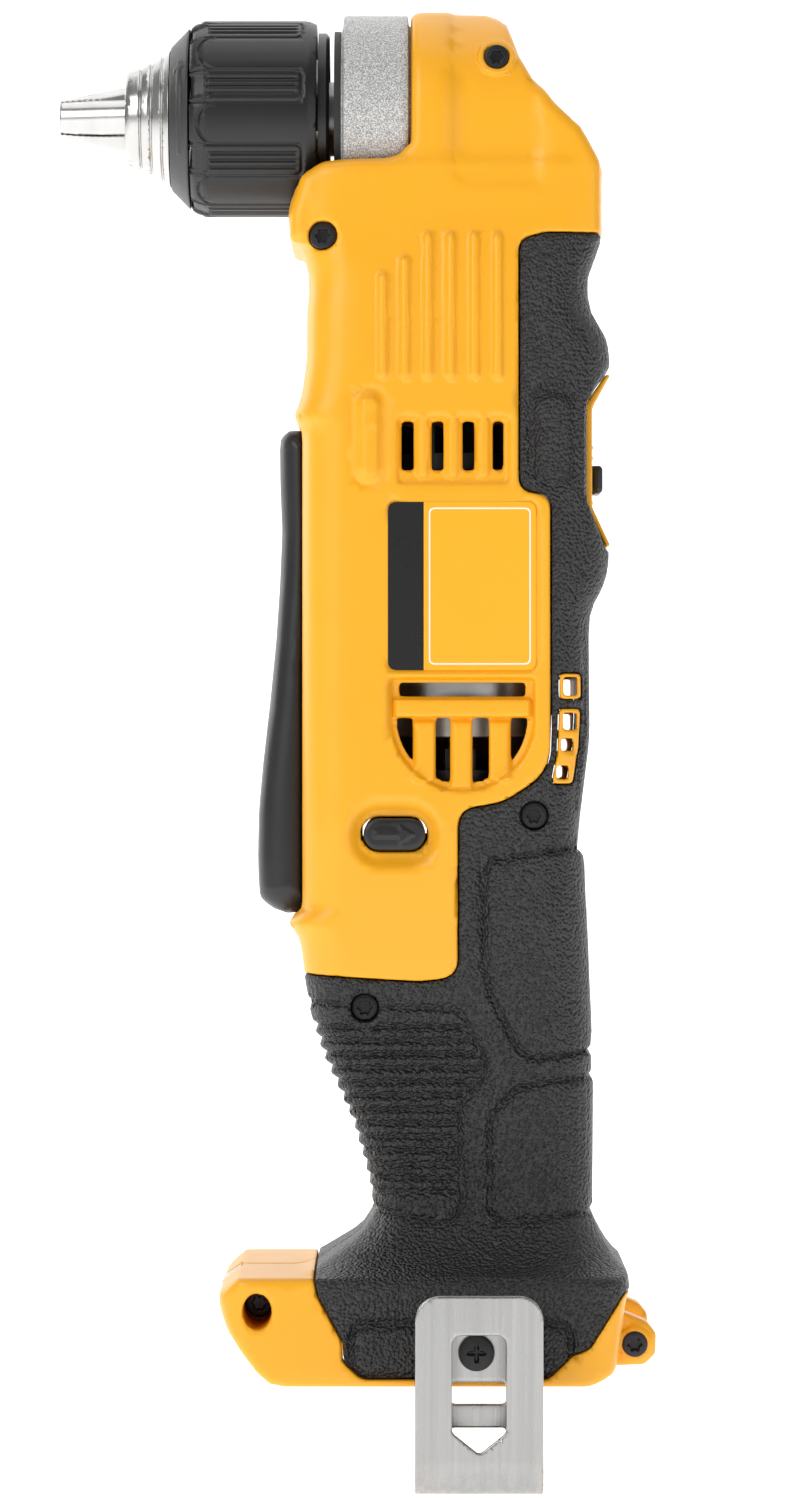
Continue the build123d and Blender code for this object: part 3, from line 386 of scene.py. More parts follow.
@dataclass
class Finish:
    """A procedural material: a colour with mottling, a roughness with wear, and a fine bump.

    Scales are in cells a metre, grain_depth is in metres, and stretch squeezes the noise along X, Y and Z.
    """
    name: str
    colour: tuple
    roughness: float
    metallic: float = 0.0
    mottle: float = 0.06
    mottle_scale: float = 60.0
    smudge: float = 0.08
    grain: float = 0.05
    grain_scale: float = 2500.0
    grain_depth: float = 0.00005
    stretch: tuple = (1.0, 1.0, 1.0)
    coat: float = 0.0
    pebbles: float = 0.0
    speckle: float = 0.0
    alpha: float = 1.0
    material: bpy.types.Material | None = field(default=None, init=False)

    def node(self, kind: str, settings: dict, sockets: dict) -> Link:
        """Adds one node.

        Args:
            kind: the node's type.
            settings: its own settings, set before its sockets.
            sockets: values or links by socket name or index.

        Returns:
            Its first output.
        """
        made = self.material.node_tree.nodes.new(kind)
        for key, value in settings.items():
            if key == "stops":
                for stop, (place, shade) in zip(made.color_ramp.elements, value):
                    stop.position = place
                    stop.color = (shade, shade, shade, 1)
            else:
                setattr(made, key, value)
        for key, value in sockets.items():
            if isinstance(value, Link):
                self.material.node_tree.links.new(value.socket, made.inputs[key])
            else:
                made.inputs[key].default_value = value
        return Link(self, made.outputs[0])

    def spot(self) -> Link:
        """Place on the piece, in the object's own metres."""
        return Link(self, self.node("ShaderNodeTexCoord", {}, {}).socket.node.outputs["Object"])

    def noise(self, scale: float, detail: float = 3.0) -> Link:
        """Even noise over the piece.

        Args:
            scale: noise cells in a metre.
            detail: how many finer layers it has.

        Returns:
            The noise, from 0 to 1.
        """
        place = self.spot()
        if self.stretch != (1.0, 1.0, 1.0):
            place = self.node("ShaderNodeVectorMath", {"operation": "MULTIPLY"}, {0: place, 1: self.stretch})
        return self.node("ShaderNodeTexNoise", {}, {"Vector": place, "Scale": scale, "Detail": detail})

    def mix(self, share: Link, first: "Link | tuple", second: "Link | tuple") -> Link:
        """Blend of two colours, the second where share is 1."""
        blend = self.node("ShaderNodeMix", {"data_type": "RGBA"}, {0: share, 6: first, 7: second})
        return Link(self, blend.socket.node.outputs[2])

    def relief(self) -> Link:
        """Height of the fine surface, with leathery pebbles where the finish has them.

        Returns:
            The height, in grain depths.
        """
        height = self.noise(self.grain_scale, 2.0)
        if self.pebbles > 0:
            cells = self.node("ShaderNodeTexVoronoi", {"feature": "SMOOTH_F1"},
                              {"Vector": self.spot(), "Scale": self.pebbles, "Smoothness": 0.6})
            height = height * 0.3 + (1 - cells) * 1.4
        return height

    def shade(self) -> Link:
        """Colour over the surface, with dark specks where the finish has them.

        Returns:
            The colour.
        """
        cloud = self.noise(self.mottle_scale)
        light = tuple(min(1.0, c * (1 + self.mottle)) for c in self.colour) + (1.0,)
        dark = tuple(c * (1 - self.mottle) for c in self.colour) + (1.0,)
        mixed = self.mix(cloud, dark, light)
        if self.speckle > 0:
            dots = self.noise(self.grain_scale * 0.5, 1.0)
            dots = self.node("ShaderNodeValToRGB", {"stops": ((0.42, 0.0), (0.6, 1.0))}, {"Fac": dots})
            deep = tuple(c * (1 - self.speckle) for c in self.colour) + (1.0,)
            mixed = self.mix(dots, deep, mixed)
        return mixed

    def build(self) -> bpy.types.Material:
        """Makes the material, once.

        Returns:
            The material.
        """
        if self.material:
            return self.material
        self.material = bpy.data.materials.new(self.name)
        self.material.use_nodes = True
        shader = self.material.node_tree.nodes["Principled BSDF"]
        wear = self.noise(self.mottle_scale * 2.2)
        rough = wear * (2 * self.smudge) + (self.roughness - self.smudge)
        bump = self.node("ShaderNodeBump", {}, {"Height": self.relief(), "Strength": min(1.0, self.grain * 8),
                                               "Distance": self.grain_depth})
        for name, value in (("Base Color", self.shade()), ("Roughness", rough), ("Normal", bump)):
            self.material.node_tree.links.new(value.socket, shader.inputs[name])
        shader.inputs["Metallic"].default_value = self.metallic
        shader.inputs["Coat Weight"].default_value = self.coat
        shader.inputs["Coat Roughness"].default_value = 0.25
        if self.alpha < 1:
            shader.inputs["Alpha"].default_value = self.alpha
        return self.material


class Shade(Enum):
    """The finishes of the drill."""
    HOUSING = Finish("housing_yellow", (0.89, 0.40, 0.006), 0.40, mottle=0.03, smudge=0.05, grain=0.02,
                     grain_scale=3200, grain_depth=0.00003, coat=0.10)
    GRIP = Finish("grip_rubber", (0.017, 0.017, 0.018), 0.42, mottle=0.25, smudge=0.08, grain=0.13,
                  grain_scale=3200, grain_depth=0.0006, pebbles=1500)
    BLACK = Finish("black_plastic", (0.011, 0.011, 0.012), 0.36, mottle=0.15, smudge=0.07, grain=0.03,
                   grain_scale=2800, grain_depth=0.00004)
    SLEEVE = Finish("chuck_black", (0.008, 0.008, 0.0085), 0.36, mottle=0.2, smudge=0.06, grain=0.04,
                    grain_scale=3000, grain_depth=0.00005)
    CAP = Finish("chuck_cap_grey", (0.03, 0.03, 0.031), 0.42, mottle=0.15, smudge=0.08, grain=0.06,
                 grain_scale=2200, grain_depth=0.00006)
    CAST = Finish("cast_aluminium", (0.72, 0.72, 0.71), 0.42, 0.5, mottle=0.04, smudge=0.06, grain=0.12,
                  grain_scale=7500, grain_depth=0.00016, speckle=0.55)
    TURNED = Finish("chuck_steel", (0.55, 0.545, 0.535), 0.24, 1.0, mottle=0.12, smudge=0.07, grain=0.04,
                    grain_scale=900, grain_depth=0.00003, stretch=(4.0, 0.35, 0.35))
    BRUSHED = Finish("brushed_steel", (0.40, 0.397, 0.39), 0.28, 1.0, mottle=0.2, mottle_scale=400,
                     smudge=0.06, grain=0.08,
                     grain_scale=1400, grain_depth=0.00003, stretch=(1.6, 1.0, 0.03))
    SCREW = Finish("black_oxide_screw", (0.03, 0.03, 0.032), 0.36, 0.6, mottle=0.3, grain=0.05)
    RUBBER = Finish("seal_rubber", (0.02, 0.02, 0.021), 0.6, mottle=0.15, grain=0.06, grain_scale=1800)
    STEEL = Finish("bare_steel", (0.5, 0.5, 0.5), 0.33, 1.0, mottle=0.12, grain=0.04)
    GEARS = Finish("gear_steel", (0.42, 0.42, 0.43), 0.3, 1.0, mottle=0.15, grain=0.04)
    ZINC = Finish("zinc_plate", (0.5, 0.5, 0.48), 0.35, 1.0, mottle=0.15, grain=0.05)
    FERRITE = Finish("magnet_ferrite", (0.05, 0.05, 0.052), 0.7, mottle=0.2, grain=0.08)
    COPPER = Finish("copper", (0.62, 0.24, 0.11), 0.32, 1.0, mottle=0.15, grain=0.06)
    BRONZE = Finish("bronze", (0.4, 0.26, 0.13), 0.45, 1.0, mottle=0.15, grain=0.08)
    BRASS = Finish("brass", (0.62, 0.45, 0.16), 0.3, 1.0, mottle=0.1, grain=0.04)
    FILM = Finish("label_film", (0.92, 0.43, 0.010), 0.30, mottle=0.02, smudge=0.03, grain=0.01, coat=0.3)
    FILM_BLACK = Finish("label_band_black", (0.008, 0.008, 0.008), 0.28, mottle=0.1, smudge=0.03, grain=0.01,
                        coat=0.1)
    FILM_LINE = Finish("label_line_pale", (0.85, 0.83, 0.78), 0.35, mottle=0.02, grain=0.01)
    LENS = Finish("clear_lens", (0.85, 0.88, 0.9), 0.08, mottle=0.02, smudge=0.02, coat=1.0, alpha=0.45)

    def paint(self, thing: bpy.types.Object) -> None:
        """Gives an object this finish alone."""
        thing.data.materials.clear()
        thing.data.materials.append(self.value.build())


def place(mesh: bpy.types.Mesh, shade: Shade, body: str, slot: str, *nodes: str) -> bpy.types.Object:
    """Puts a finished piece on its body.

    Args:
        mesh: the piece's mesh, in metres in the model's frame.
        shade: its finish.
        body: the body it rides on.
        slot: the record's material slot; not used.
        nodes: CAD nodes it stands for.

    Returns:
        The piece's object.
    """
    piece = bpy.data.objects.new(mesh.name, mesh)
    bpy.context.scene.collection.objects.link(piece)
    shade.paint(piece)
    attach(piece, body)
    if nodes:
        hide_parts(*nodes)
    LOG.info("%s: %d faces", mesh.name, len(mesh.polygons))
    return piece


# ---- housing -------------------------------------------------------------------------------------
@dataclass
class Housing:
    """Both clamshell halves and their rubber skins, shaped from the side view."""
    step: float = 0.45
    wall: float = 2.5
    seam: float = 0.12
    corner: float = 9.0
    head_radius: float = 22.0
    collar_back: float = -10.2
    trough: float = 21.3
    foot_half: float = 33.0
    saddle_floor: float = 2.2
    front: tuple = ((21, -30.0), (24.0, -26.6), (26.5, -22.6), (28.6, -19.6), (30.8, -18.0), (33.2, -17.3),
                    (38.0, -17.9), (42.9, -19.1), (50.2, -21.3), (57.5, -24.4), (64.8, -27.6),
                    (72.1, -29.8), (79.4, -31.0), (86.6, -31.8), (89.1, -32.9), (91.6, -35.2),
                    (92.6, -32.0), (94.0, -31.5), (189.6, -31.5), (191.2, -33.3), (193.5, -32.6),
                    (196.0, -31.6), (203.3, -30.6), (213.0, -30.6), (218.7, -29.9), (226.6, -31.6),
                    (231.8, -34.0), (234.0, -33.9), (237.7, -32.7), (239.7, -31.6), (241.4, -29.8),
                    (242.6, -27.2))
    back: tuple = ((18.0, 33.2), (21.0, 32.6), (23.5, 31.4), (25.9, 29.7), (30.8, 27.1), (33.2, 26.3),
                   (44.3, 26.5), (57.5, 26.5), (72.1, 26.1), (84.2, 25.5), (95.0, 24.9), (104.7, 24.5),
                   (106.1, 23.5), (110.9, 23.8), (123.1, 25.3), (128.0, 25.9), (149.8, 25.7),
                   (152.3, 25.9), (154.7, 26.7), (157.1, 28.3), (161.8, 29.7), (200.3, 29.6),
                   (203.3, 29.9), (205.7, 29.7), (208.1, 28.9), (210.6, 27.3), (213.0, 25.9),
                   (215.4, 25.5), (220.3, 25.5), (222.7, 26.9), (227.6, 27.9), (242.6, 27.9))
    width: tuple = ((18, 33.0), (21.0, 31.0), (23.0, 28.0), (25.5, 24.6), (28.0, 22.3), (31.0, 20.8),
                    (35.0, 19.6), (42.0, 19.0), (57.5, 19.7), (72.0, 21.3), (84.0, 23.0), (95.0, 24.0),
                    (110.0, 25.0), (200.0, 25.0), (213.0, 24.5), (222.0, 23.8), (232.0, 22.6),
                    (242.6, 22.0))
    head: tuple = ((-34.0, 226.0), (27.9, 226.0), (27.9, 242.0), (26.6, 244.8), (24.0, 249.3),
                   (18.6, 254.3), (15.1, 259.2), (12.5, 264.0), (10.9, 268.9), (10.2, 271.4),
                   (8.2, 273.3), (5.4, 275.2), (-8.4, 275.2), (-10.2, 273.6), (-10.2, 246.5),
                   (-12.4, 243.9), (-15.0, 242.8), (-27.2, 242.4), (-31.6, 239.7), (-34.0, 232.0))
    foot: tuple = ((-34.6, 0.0), (-37.7, 0.6), (-40.3, 2.9), (-45.6, 10.0), (-48.4, 16.4), (-48.2, 18.2),
                   (-44.0, 21.4), (33.0, 21.4), (33.2, 18.0), (32.4, 14.0), (30.6, 3.5), (29.8, 2.2),
                   (27.2, 0.8), (25.0, 0.0))
    grip_edge: tuple = ((45.0, 228.0), (16.7, 228.0), (11.6, 226.5), (11.6, 176.5), (17.9, 176.0),
                        (17.9, 121.0), (8.5, 114.9), (-0.4, 113.4), (-0.4, 80.2), (-8.0, 79.2),
                        (-45.0, 81.6), (-45.0, 40.0), (-28.0, 40.0), (-28.0, 27.5), (-28.9, 21.0),
                        (-28.3, 18.0), (-23.4, 9.0), (-23.3, 5.0), (-19.5, 1.6), (17.0, 1.6),
                        (21.9, 6.2), (25.3, 7.6), (32.2, 18.4), (45.0, 18.4))
    grip_rounds: tuple = (0, 5, 3, 8, 7, 10, 12, 4, 7, 8, 0, 0, 0, 1, 2, 3, 2, 3, 3, 3, 4, 3, 1, 0)
    rib_rows: tuple = ((-15.4, 219.8), (-11.0, 223.2), (-6.4, 228.0), (-1.9, 228.0), (2.8, 228.0),
                       (7.4, 228.0))
    rib_foot: float = 198.9
    vent_slots: tuple = ((-11.7, -9.3), (-5.7, -3.4), (0.4, 2.7), (6.4, 8.5))
    grille_slots: tuple = ((-13.2, -9.5, 123.4), (-4.9, -2.1, 118.6), (2.4, 5.6, 118.6), (10.0, 13.8, 123.4))
    left_panel: tuple = ((-32.0, 75.4), (-15.6, 74.2), (-1.3, 73.9), (0.7, 72.2), (5.1, 63.3), (5.1, 61.7),
                         (4.3, 59.7), (0.2, 54.7), (-0.1, 51.1), (0.2, 34.8), (-0.9, 32.3), (-2.3, 31.3),
                         (-16.8, 33.6), (-32.0, 34.6))
    upper_panel: tuple = ((32.0, 106.6), (17.0, 105.2), (6.0, 103.6), (4.9, 101.0), (4.7, 82.6),
                          (5.8, 77.0), (11.0, 66.2), (13.4, 64.3), (17.4, 64.3), (32.0, 66.0))
    lower_panel: tuple = ((32.0, 61.0), (18.4, 59.5), (11.2, 58.2), (6.4, 53.0), (5.8, 50.0), (5.8, 33.8),
                          (8.0, 31.3), (16.0, 32.1), (32.0, 34.0))
    rib_pitch: float = 2.75
    button: Point = (-13.1, 108.6)
    screws: tuple = ((7.25, 263.2, 2.5, 19.6), (-27.3, 227.5, 2.9, 21.0), (14.6, 112.3, 2.9, 23.0),
                     (-19.0, 74.1, 2.9, 19.0))
    toe_pocket: tuple = (-40.1, 14.9, 2.85, 3.6)
    ear_hole: Point = (34.6, 7.4)
    spine_slots: tuple = (((20.4, 136.1), (23.1, 139.8)), ((20.3, 129.3), (23.0, 132.7)),
                          ((19.9, 125.1), (22.4, 127.6)), ((19.0, 119.5), (21.4, 122.2)))

    def profile(self, z: Array, table: tuple) -> Array:
        """Smoothed reading of a table of sizes by height.

        Args:
            z: the heights at which it is read.
            table: rows of a height and a size.

        Returns:
            The size at each height.
        """
        heights, sizes = zip(*table)
        spread = (-1.2, -0.6, 0.0, 0.6, 1.2)
        return sum(np.interp(z + s, heights, sizes) for s in spread).astype(np.float32) / len(spread)

    def outside(self, b: Block) -> Array:
        """Shapes the plain outer body, without details.

        Args:
            b: the block.

        Returns:
            The signed distance to it.
        """
        front, back = self.profile(b.z, self.front), self.profile(b.z, self.back)
        half = self.profile(b.z, self.width)
        reach_x = np.abs(b.x - (front + back) / 2) - (back - front) / 2 + self.corner
        reach_y = np.abs(b.y) - half + self.corner
        column = np.minimum(np.maximum(reach_x, reach_y), 0) - self.corner
        column = column + np.hypot(np.maximum(reach_x, 0), np.maximum(reach_y, 0))
        slope = np.maximum(np.abs(np.gradient(half[0, 0])), np.abs(np.gradient(front[0, 0]))) / b.step
        column = column / np.sqrt(1 + np.minimum(slope, 1.5) ** 2)[None, None, :]
        column = meet(column, slab(b.z, 18.0, 242.4), 1.2)
        foot = polygon(b.x, b.z, list(self.foot))
        plan = rectangle(b.x, b.y, (-48.4, -self.foot_half), (33.2, self.foot_half), 7.0)
        foot = meet(foot, plan, 1.6)
        body = join(column, foot, 2.5)
        radial = np.hypot(b.y, np.maximum(b.z - SPINDLE_Z, 0)) - self.head_radius
        head = meet(polygon(b.x, b.z, rounded(list(self.head), 2.0)), radial, 2.6)
        body = join(body, head, 1.5)
        hollow = np.hypot(b.y, b.z - SPINDLE_Z) - self.trough
        hollow = np.maximum(hollow, b.x - self.collar_back)
        return cut(body, hollow, 1.3)

    def regions(self, b: Block) -> Array:
        """Side-view distance to the rubber's region."""
        return polygon(b.x, b.z, rounded(list(self.grip_edge), list(self.grip_rounds)))

    def yellow_details(self, b: Block, body: Array) -> Array:
        """Ribs, pads, vents and pockets of the yellow moulding.

        Args:
            b: the block.
            body: signed distance to the body before them.

        Returns:
            The signed distance with them.
        """
        height = np.zeros(np.broadcast(b.x, b.z).shape, np.float32)
        for x, top in self.rib_rows:
            line = stroke(b.x, b.z, [(x, self.rib_foot + 0.9), (x, top - 0.9)])
            height = np.maximum(height, 0.85 * ramp(line, 1.25, 0.45))
        pad = rectangle(b.x, b.z, (-20.5, 178.5), (-15.7, 196.0), 2.4)
        height = height + 1.3 * ramp(pad, 0.3, -1.3) - 0.35 * ramp(pad, 1.7, 0.9) * ramp(pad, 0.2, 0.9)
        vent = rectangle(b.x, b.z, (-12.6, 178.0), (9.8, 191.4), 1.2)
        height = height - 0.9 * ramp(vent, 0.3, -0.5)
        for left, right in ((-9.3, -5.7), (-3.4, 0.4), (2.7, 6.4)):
            bar = stroke(b.x, b.z, [((left + right) / 2, 180.2), ((left + right) / 2, 190.4)])
            height = height + 0.9 * ramp(bar, 1.45, 0.6)
        label = rectangle(b.x, b.z, (-14.9, 140.6), (15.4, 174.9), 2.2)
        height = height - 0.55 * ramp(label, 0.25, -0.25)
        grille = np.minimum(rectangle(b.x, b.z, (-13.9, 131.0), (14.7, 139.7), 0.8),
                            np.maximum(np.hypot(b.x - 0.4, b.z - 131.4) - 14.3, b.z - 131.4))
        height = height - 1.6 * ramp(grille, 0.2, -0.5)
        bar = rectangle(b.x, b.z, (-13.2, 131.7), (14.0, 135.6), 0.4)
        height = height + 1.6 * ramp(bar, 0.15, -0.35)
        for left, right, foot in ((-9.5, -4.9, 119.0), (-2.1, 2.4, 117.5), (5.6, 10.0, 119.0)):
            post = rectangle(b.x, b.z, (left, foot), (right, 131.0), 0.4)
            height = height + 1.0 * ramp(post, 0.1, -0.4)
        recess = rectangle(b.x, b.z, (-22.5, 101.8), (-3.6, 115.3), 6.7)
        height = height - 1.7 * ramp(recess, 0.5, -2.4)
        step = np.maximum(-2.4 - b.x, 237.2 - b.z)
        corner = np.hypot(np.maximum(-2.4 + 3.0 - b.x, 0), np.maximum(237.2 + 3.0 - b.z, 0)) - 3.0
        step = np.where(np.maximum(-2.4 + 3.0 - b.x, 237.2 + 3.0 - b.z) > 0, corner, step)
        height = height - 0.75 * ramp(step, 0.0, -1.6) * ramp(b.x, 17.5, 14.0)
        return body - height

    def yellow_holes(self, b: Block, body: Array) -> Array:
        """Cuts the openings right through the yellow moulding.

        Args:
            b: the block.
            body: signed distance to the body before them.

        Returns:
            The signed distance with them.
        """
        holes = [rectangle(b.x, b.z, (left, 180.7), (right, 190.4), 0.4) for left, right in self.vent_slots]
        holes.append(rectangle(b.x, b.z, (-12.1, 136.0), (12.8, 138.6), 0.3))
        bowl = np.hypot(b.x - 0.3, b.z - 131.6)
        for left, right, foot in self.grille_slots:
            slot = rectangle(b.x, b.z, (left, foot - 4), (right, 131.6), 0.3)
            holes.append(np.maximum(slot, bowl - 12.9))
        holes.append(rectangle(b.x, b.z, (self.button[0] - 6.45, self.button[1] - 3.45),
                               (self.button[0] + 6.45, self.button[1] + 3.45), 3.44))
        for hole in holes:
            body = cut(body, hole, 0.35)
        slot = np.maximum(rectangle(b.x, b.z, (-50, 90.6), (-26, 191.2), 0.5), np.abs(b.y) - 13.5)
        return cut(body, slot, 0.5)

    def black_details(self, b: Block, body: Array) -> Array:
        """Ribbed panel, grooves and pill of the rubber.

        Args:
            b: the block.
            body: signed distance to the body before them.

        Returns:
            The signed distance with them.
        """
        height = np.zeros(np.broadcast(b.x, b.z).shape, np.float32)
        panel = polygon(b.x, b.z, rounded(list(self.left_panel), 1.5))
        height = height - 0.8 * ramp(np.abs(panel), 0.9, 0.2)
        ribs = 0.5 + 0.5 * np.cos(2 * pi * (b.z - 37.3) / self.rib_pitch)
        ribs = ribs ** 1.5 * ramp(b.z, 72.6, 71.6) * ramp(b.z, 35.0, 36.0)
        height = height - 1.1 * ribs * ramp(panel + 1.2, 0.9, -0.3)
        for points in (self.upper_panel, self.lower_panel):
            line = polygon(b.x, b.z, rounded(list(points), 2.2))
            height = height - 0.75 * ramp(np.abs(line), 0.75, 0.2) + 0.25 * ramp(line, -0.6, -1.6)
        pill = rectangle(b.x, b.z, (14.2, 178.3), (22.4, 196.2), 3.6)
        height = height + 1.5 * ramp(pill, 0.2, -1.8) - 0.3 * ramp(np.abs(pill - 0.5), 0.7, 0.1)
        pad = rectangle(b.x, b.z, (-21.6, 2.2), (21.6, 12.6), 3.2)
        height = height - 1.0 * ramp(np.abs(pad), 1.15, 0.25)
        seam = stroke(b.x, b.z, [(24.2, 148.0), (24.8, 140.0), (24.6, 130.0), (22.6, 114.0)])
        height = height - 0.4 * ramp(seam, 0.6, 0.1)
        return body - height

    def spine_frame(self, b: Block) -> Array:
        """Side view of the yellow frames in the spine.

        Args:
            b: the block.

        Returns:
            The signed distance to them.
        """
        top = rectangle(b.x, b.z, (19.6, 135.4), (23.9, 140.5), 0.8)
        strip = polygon(b.x, b.z, rounded([(19.5, 133.5), (23.8, 133.5), (23.4, 126.0), (22.2, 118.6),
                                           (18.0, 118.6), (19.2, 125.0)], 0.9))
        return np.minimum(top, strip)

    def foot_cuts(self, b: Block, body: Array) -> Array:
        """Cuts the battery channel, the terminal block's well and the lamp's window.

        Args:
            b: the block.
            body: signed distance to the body before them.

        Returns:
            The signed distance with them.
        """
        channel = np.maximum(b.x - 22.0, np.minimum(
            rectangle(b.y, b.z, (-22, -5), (22, 8)), rectangle(b.y, b.z, (-27, 3), (27, 8))))
        body = cut(body, channel, 0.5)
        body = cut(body, np.maximum(rectangle(b.x, b.y, (-2.3, -12.3), (16.3, 12.3)), b.z - 12.0), 0.2)
        depth = (b.x + 45.6) * 0.588 - (b.z - 19.0) * 0.809
        along = (b.x + 45.6) * 0.809 + (b.z - 19.0) * 0.588
        window = np.maximum(np.maximum(np.abs(along) - 2.55, np.abs(b.y) - 5.05), np.abs(depth) - 2.6)
        return cut(body, window, 0.4)

    def ears(self, b: Block) -> Array:
        """The two ears behind the foot.

        Args:
            b: the block.

        Returns:
            The signed distance to them.
        """
        plate = polygon(b.x, b.z, rounded([(24.0, 2.7), (36.6, 3.2), (38.8, 5.4), (38.9, 9.4), (37.0, 11.8),
                                           (31.0, 14.3), (27.0, 15.0)], 1.6))
        body = meet(plate, slab(np.abs(b.y), 15.0, 21.5), 1.0)
        boss = np.hypot(b.x - self.ear_hole[0], b.z - self.ear_hole[1]) - 3.5
        return np.minimum(body, meet(boss, slab(np.abs(b.y), 15.0, 22.0), 0.4))

    def build(self) -> None:
        """Makes both halves of the yellow moulding and of the rubber."""
        b = Block((-50.0, -34.5, -1.2), (40.5, 0.9, 276.6), self.step)
        plain = self.outside(b)
        region = self.regions(b)
        frames = self.spine_frame(b)
        inner = -(plain + self.wall)
        inner = np.where(b.z < 10.5, -50.0, inner)
        half = b.y + 0.06
        saddle = polygon(b.x, b.z, rounded([(45.0, 203.4), (28.9, 201.0), (25.0, 194.2), (25.0, 174.9),
                                            (28.9, 165.2), (45.0, 162.2)], 2.0))
        bezel_bed = polygon(b.x, b.z, rounded([(45.0, 203.5), (29.4, 201.2), (24.6, 194.3), (24.6, 174.8),
                                               (29.2, 165.0), (45.0, 161.5)], 2.0))
        bezel_bed = np.maximum(bezel_bed, np.abs(b.y) - 15.3)

        yellow = self.yellow_details(b, plain)
        frame_region = np.maximum(frames, region - 8.0)
        shell = meet(yellow, np.minimum(-region + self.seam, frame_region), 0.35)
        shell = np.minimum(shell, meet(self.ears(b), -region + self.seam, 0.3))
        shell = meet(shell, inner, 0.3)
        shell = self.foot_cuts(b, self.yellow_holes(b, shell))
        for (low, high) in self.spine_slots:
            shell = cut(shell, rectangle(b.x, b.z, low, high, 0.4), 0.2)
        shell = cut(cut(shell, saddle, 0.3), bezel_bed, 0.2)
        ear_hole = np.hypot(b.x - self.ear_hole[0], b.z - self.ear_hole[1]) - 1.6
        shell = cut(shell, np.maximum(ear_hole, 15.5 - np.abs(b.y)), 0.2)

        rubber = self.black_details(b, plain)
        skin = meet(rubber, np.maximum(region + self.seam, -frames + 0.15), 0.4)
        skin = meet(skin, -(plain + 2.2), 0.3)
        skin = self.foot_cuts(b, skin)
        skin = np.minimum(skin, np.maximum(plain, saddle - self.saddle_floor))
        skin = cut(cut(skin, saddle, 0.5), bezel_bed, 0.2)
        low, high = node_box("selector_button")
        stem_room = rectangle(b.y, b.z, (-4.0, low[2] - 4.0), (4.0, high[2] + 4.0), 0.4)
        skin = cut(skin, np.maximum(stem_room, 20.0 - b.x), 0.2)
        skin = cut(skin, self.ears(b) - 0.3, 0.2)
        insert = np.hypot(b.x - 3.0, b.z - 7.1) - 3.1
        skin = cut(skin, insert, 0.2)

        place(mirrored(b.mesh("right_housing_shell", meet(shell, half, 0.4))), Shade.HOUSING, "root",
              "yellow_housing", "right_housing")
        place(mirrored(b.mesh("right_grip_skin", meet(skin, half, 0.4))), Shade.GRIP, "root",
              "grip_rubber", "right_grip_overmould")

        for x, z, radius, depth in self.screws:
            hole = np.hypot(b.x - x, b.z - z) - radius
            well = np.maximum(hole, b.y + depth - 1.9)
            cup = meet(np.hypot(b.x - x, b.z - z) - radius - 1.3, slab(b.y, -depth - 2.2, -depth + 3.4), 0.2)
            cup = np.maximum(cup, plain)
            if region[int((x - b.low[0]) / b.step), 0, int((z - b.low[2]) / b.step)] > 0:
                shell = cut(np.minimum(shell, cup), well, 0.35)
            else:
                skin = cut(np.minimum(skin, cup), well, 0.35)
        x, z, wide, tall = self.toe_pocket
        pocket = (np.hypot((b.x - x) / wide, (b.z - z) / tall) - 1) * wide
        tube = meet(pocket - 1.6, plain, 0.2)
        shell = np.minimum(shell, np.maximum(tube, b.y + 11.5))
        shell = cut(shell, np.maximum(pocket, b.y + 13.5), 0.45)
        place(b.mesh("left_housing_shell", meet(shell, half, 0.4)), Shade.HOUSING, "root",
              "yellow_housing", "left_housing")
        place(b.mesh("left_grip_skin", meet(skin, half, 0.4)), Shade.GRIP, "root", "grip_rubber",
              "left_grip_overmould")


